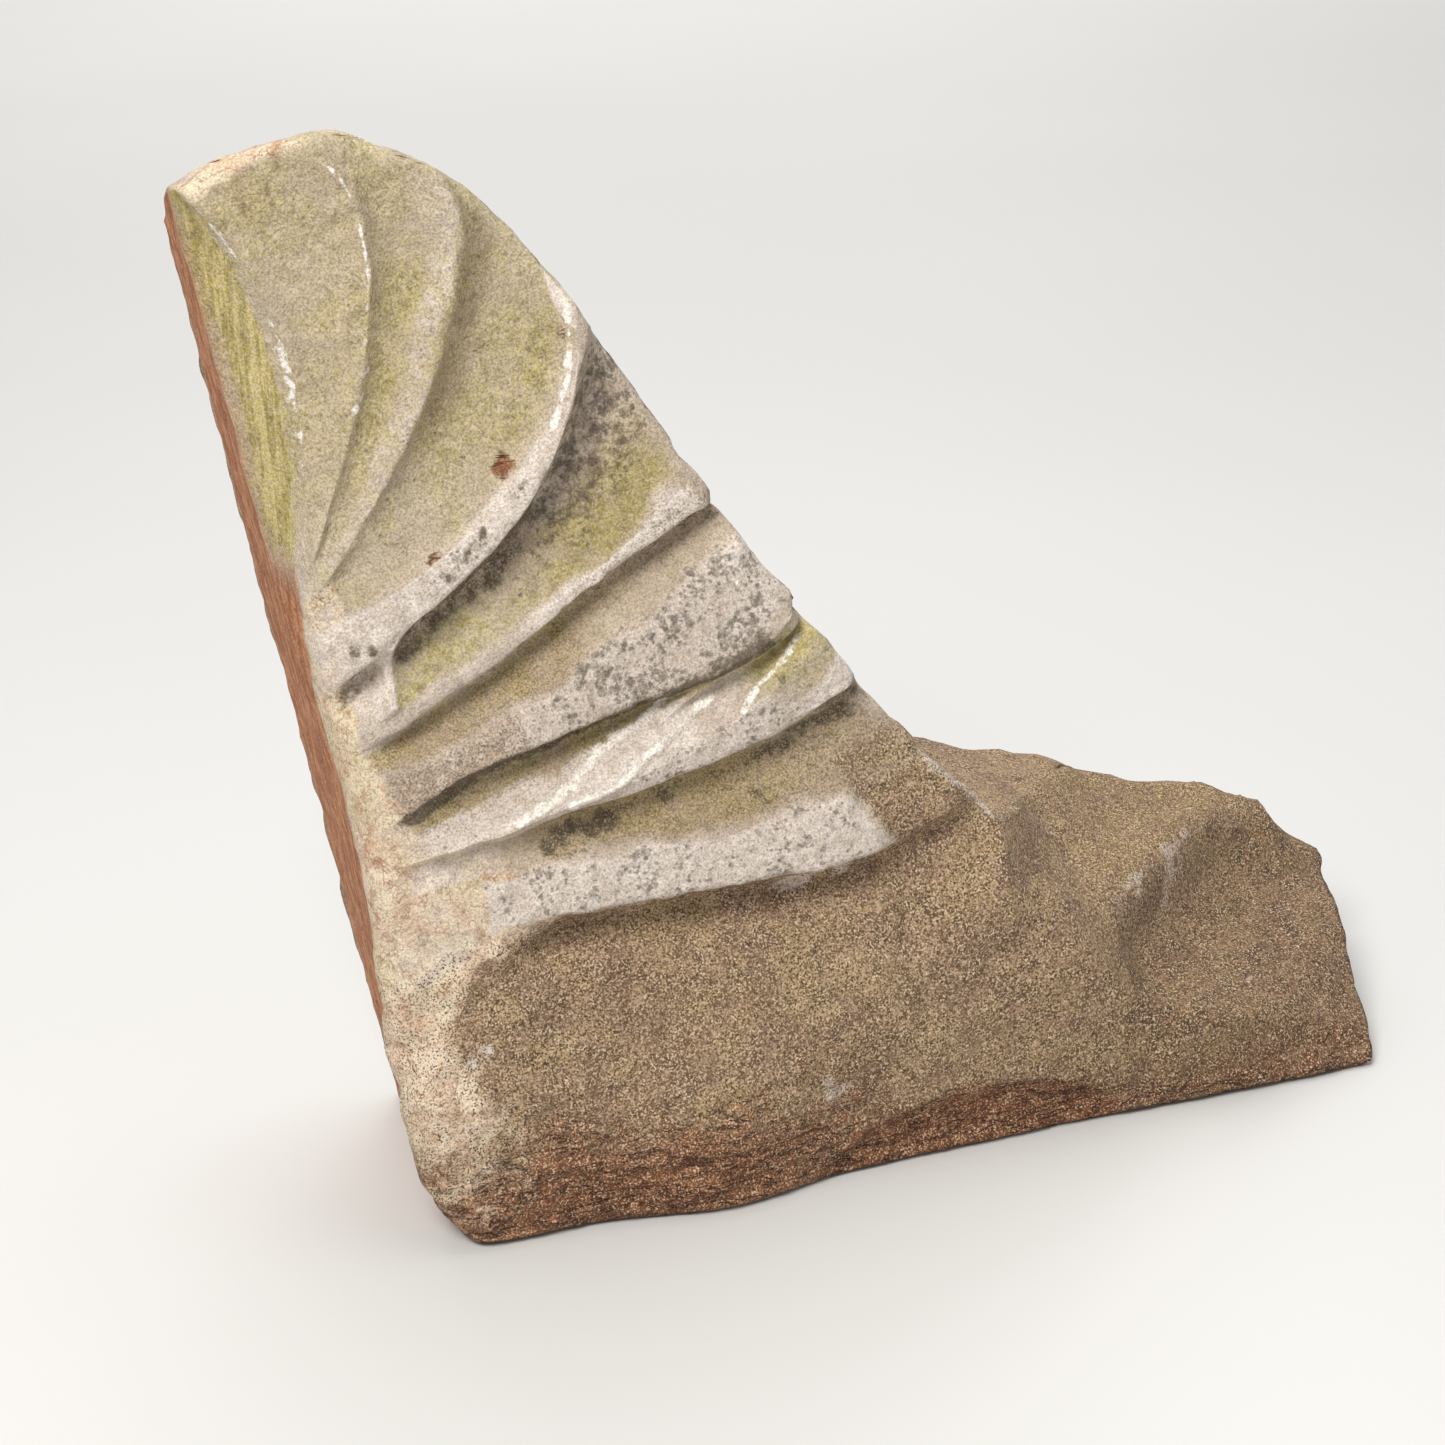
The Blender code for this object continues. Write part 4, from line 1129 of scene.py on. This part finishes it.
def make_stone(solid_box):
    """The stone as one mesh with its marks and its material."""
    points, faces, tags = block()
    points = centred(points, solid_box)
    mesh = bpy.data.meshes.new("stone")
    mesh.from_pydata([tuple(p) for p in points], [], faces)
    mesh.update()
    normals = np.empty(len(points) * 3)
    mesh.vertices.foreach_get("normal", normals)
    normals = normals.reshape(-1, 3)
    # unevenness: dressed and carved parts are finer than the broken and rough ones
    tag = {name: tags[:, k] for k, name in enumerate(MARKS)}
    coarse = np.clip(tag["brown"] + .5 * tag["rust"] + .3 * tag["cream"], 0, 1)
    bumps = .0014 * coarse * layered(points, .03, 1, 3)
    bumps += (.0005 + .0005 * coarse) * layered(points, .011, 5, 2)
    bumps += .0011 * tag["cream"] * layered(points, .014, 9, 2)
    bumps += .0008 * tag["joint"] * layered(points * np.array([1, 1, .5]), .016, 13, 2)
    keep = ramp(points[:, 2], .001, .006)
    points = points + normals * (bumps * keep)[:, None]
    points[:, 2] = np.maximum(points[:, 2], 0)
    mesh.vertices.foreach_set("co", points.ravel())
    for name in MARKS:
        layer = mesh.attributes.new(name, "FLOAT", "POINT")
        layer.data.foreach_set("value", np.ascontiguousarray(tag[name], np.float32))
    mesh.update()
    mesh.polygons.foreach_set("use_smooth", np.ones(len(mesh.polygons), bool))
    mesh.materials.append(stone_material())
    return in_scene("stone", mesh)


def make_floor():
    """Plain pale floor."""
    mesh = bpy.data.meshes.new("floor")
    far = FLOOR_REACH
    mesh.from_pydata([(-far, -far, 0), (far, -far, 0), (far, far, 0), (-far, far, 0)], [], [(0, 1, 2, 3)])
    s = Shader("floor_plain")
    cloud = s.noise(s.place(), 1.2, 2.0, .5)
    s.surface(Base_Color=s.mix(cloud, FLOOR_DARK, FLOOR_PALE), Roughness=.75)
    mesh.materials.append(s.material)
    return in_scene("floor", mesh)


def make_light(name, place, target, size, power, colour):
    """Soft round lamp that faces its target."""
    lamp = bpy.data.lights.new(name, "AREA")
    lamp.shape = "DISK"
    lamp.size = size
    lamp.energy = power
    lamp.color = colour
    away = np.array(place, float) - np.array(target, float)
    away /= np.linalg.norm(away)
    side = np.cross((0, 0, 1), away)
    side /= np.linalg.norm(side)
    in_scene(name, lamp, (side, np.cross(away, side), away), place)


def make_camera():
    """Camera at the photograph's angle: pitch and roll first, then the turn about the upright axis."""
    across = np.array([1.0, 0, 0])
    down = np.array([0, -math.sin(PITCH), -math.cos(PITCH)])
    ahead = np.array([0, math.cos(PITCH), -math.sin(PITCH)])
    c, s = math.cos(ROLL), math.sin(ROLL)

    def turned(vector):
        a, b = math.cos(TURN), math.sin(TURN)
        return np.array([vector[0] * a + vector[1] * b, -vector[0] * b + vector[1] * a, vector[2]])

    x_axis = turned(across * c + down * s)
    y_axis = -turned(-across * s + down * c)
    z_axis = -turned(ahead)
    data = bpy.data.cameras.new("camera")
    data.sensor_width = 24
    data.lens = 50.0
    data.clip_end = 40
    bpy.context.scene.camera = in_scene("camera", data, (x_axis, y_axis, z_axis), EYE)


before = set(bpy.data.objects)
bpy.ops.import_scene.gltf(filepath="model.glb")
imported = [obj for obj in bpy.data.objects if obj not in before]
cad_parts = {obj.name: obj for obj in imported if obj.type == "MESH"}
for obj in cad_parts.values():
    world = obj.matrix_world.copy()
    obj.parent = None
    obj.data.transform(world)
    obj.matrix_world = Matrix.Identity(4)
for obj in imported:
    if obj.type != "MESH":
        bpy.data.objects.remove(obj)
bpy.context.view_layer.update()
keystone_box = [list(c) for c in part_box("keystone")]
stone = make_stone(keystone_box)
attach(stone, "root")
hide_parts("keystone")
make_floor()
make_camera()
for light in LIGHTS:
    make_light(*light)
world = bpy.data.worlds.new("studio")
world.use_nodes = True
world.node_tree.nodes["Background"].inputs["Color"].default_value = (.78, .79, .8, 1)
world.node_tree.nodes["Background"].inputs["Strength"].default_value = .44
bpy.context.scene.world = world
bpy.context.scene.view_settings.view_transform = "Standard"
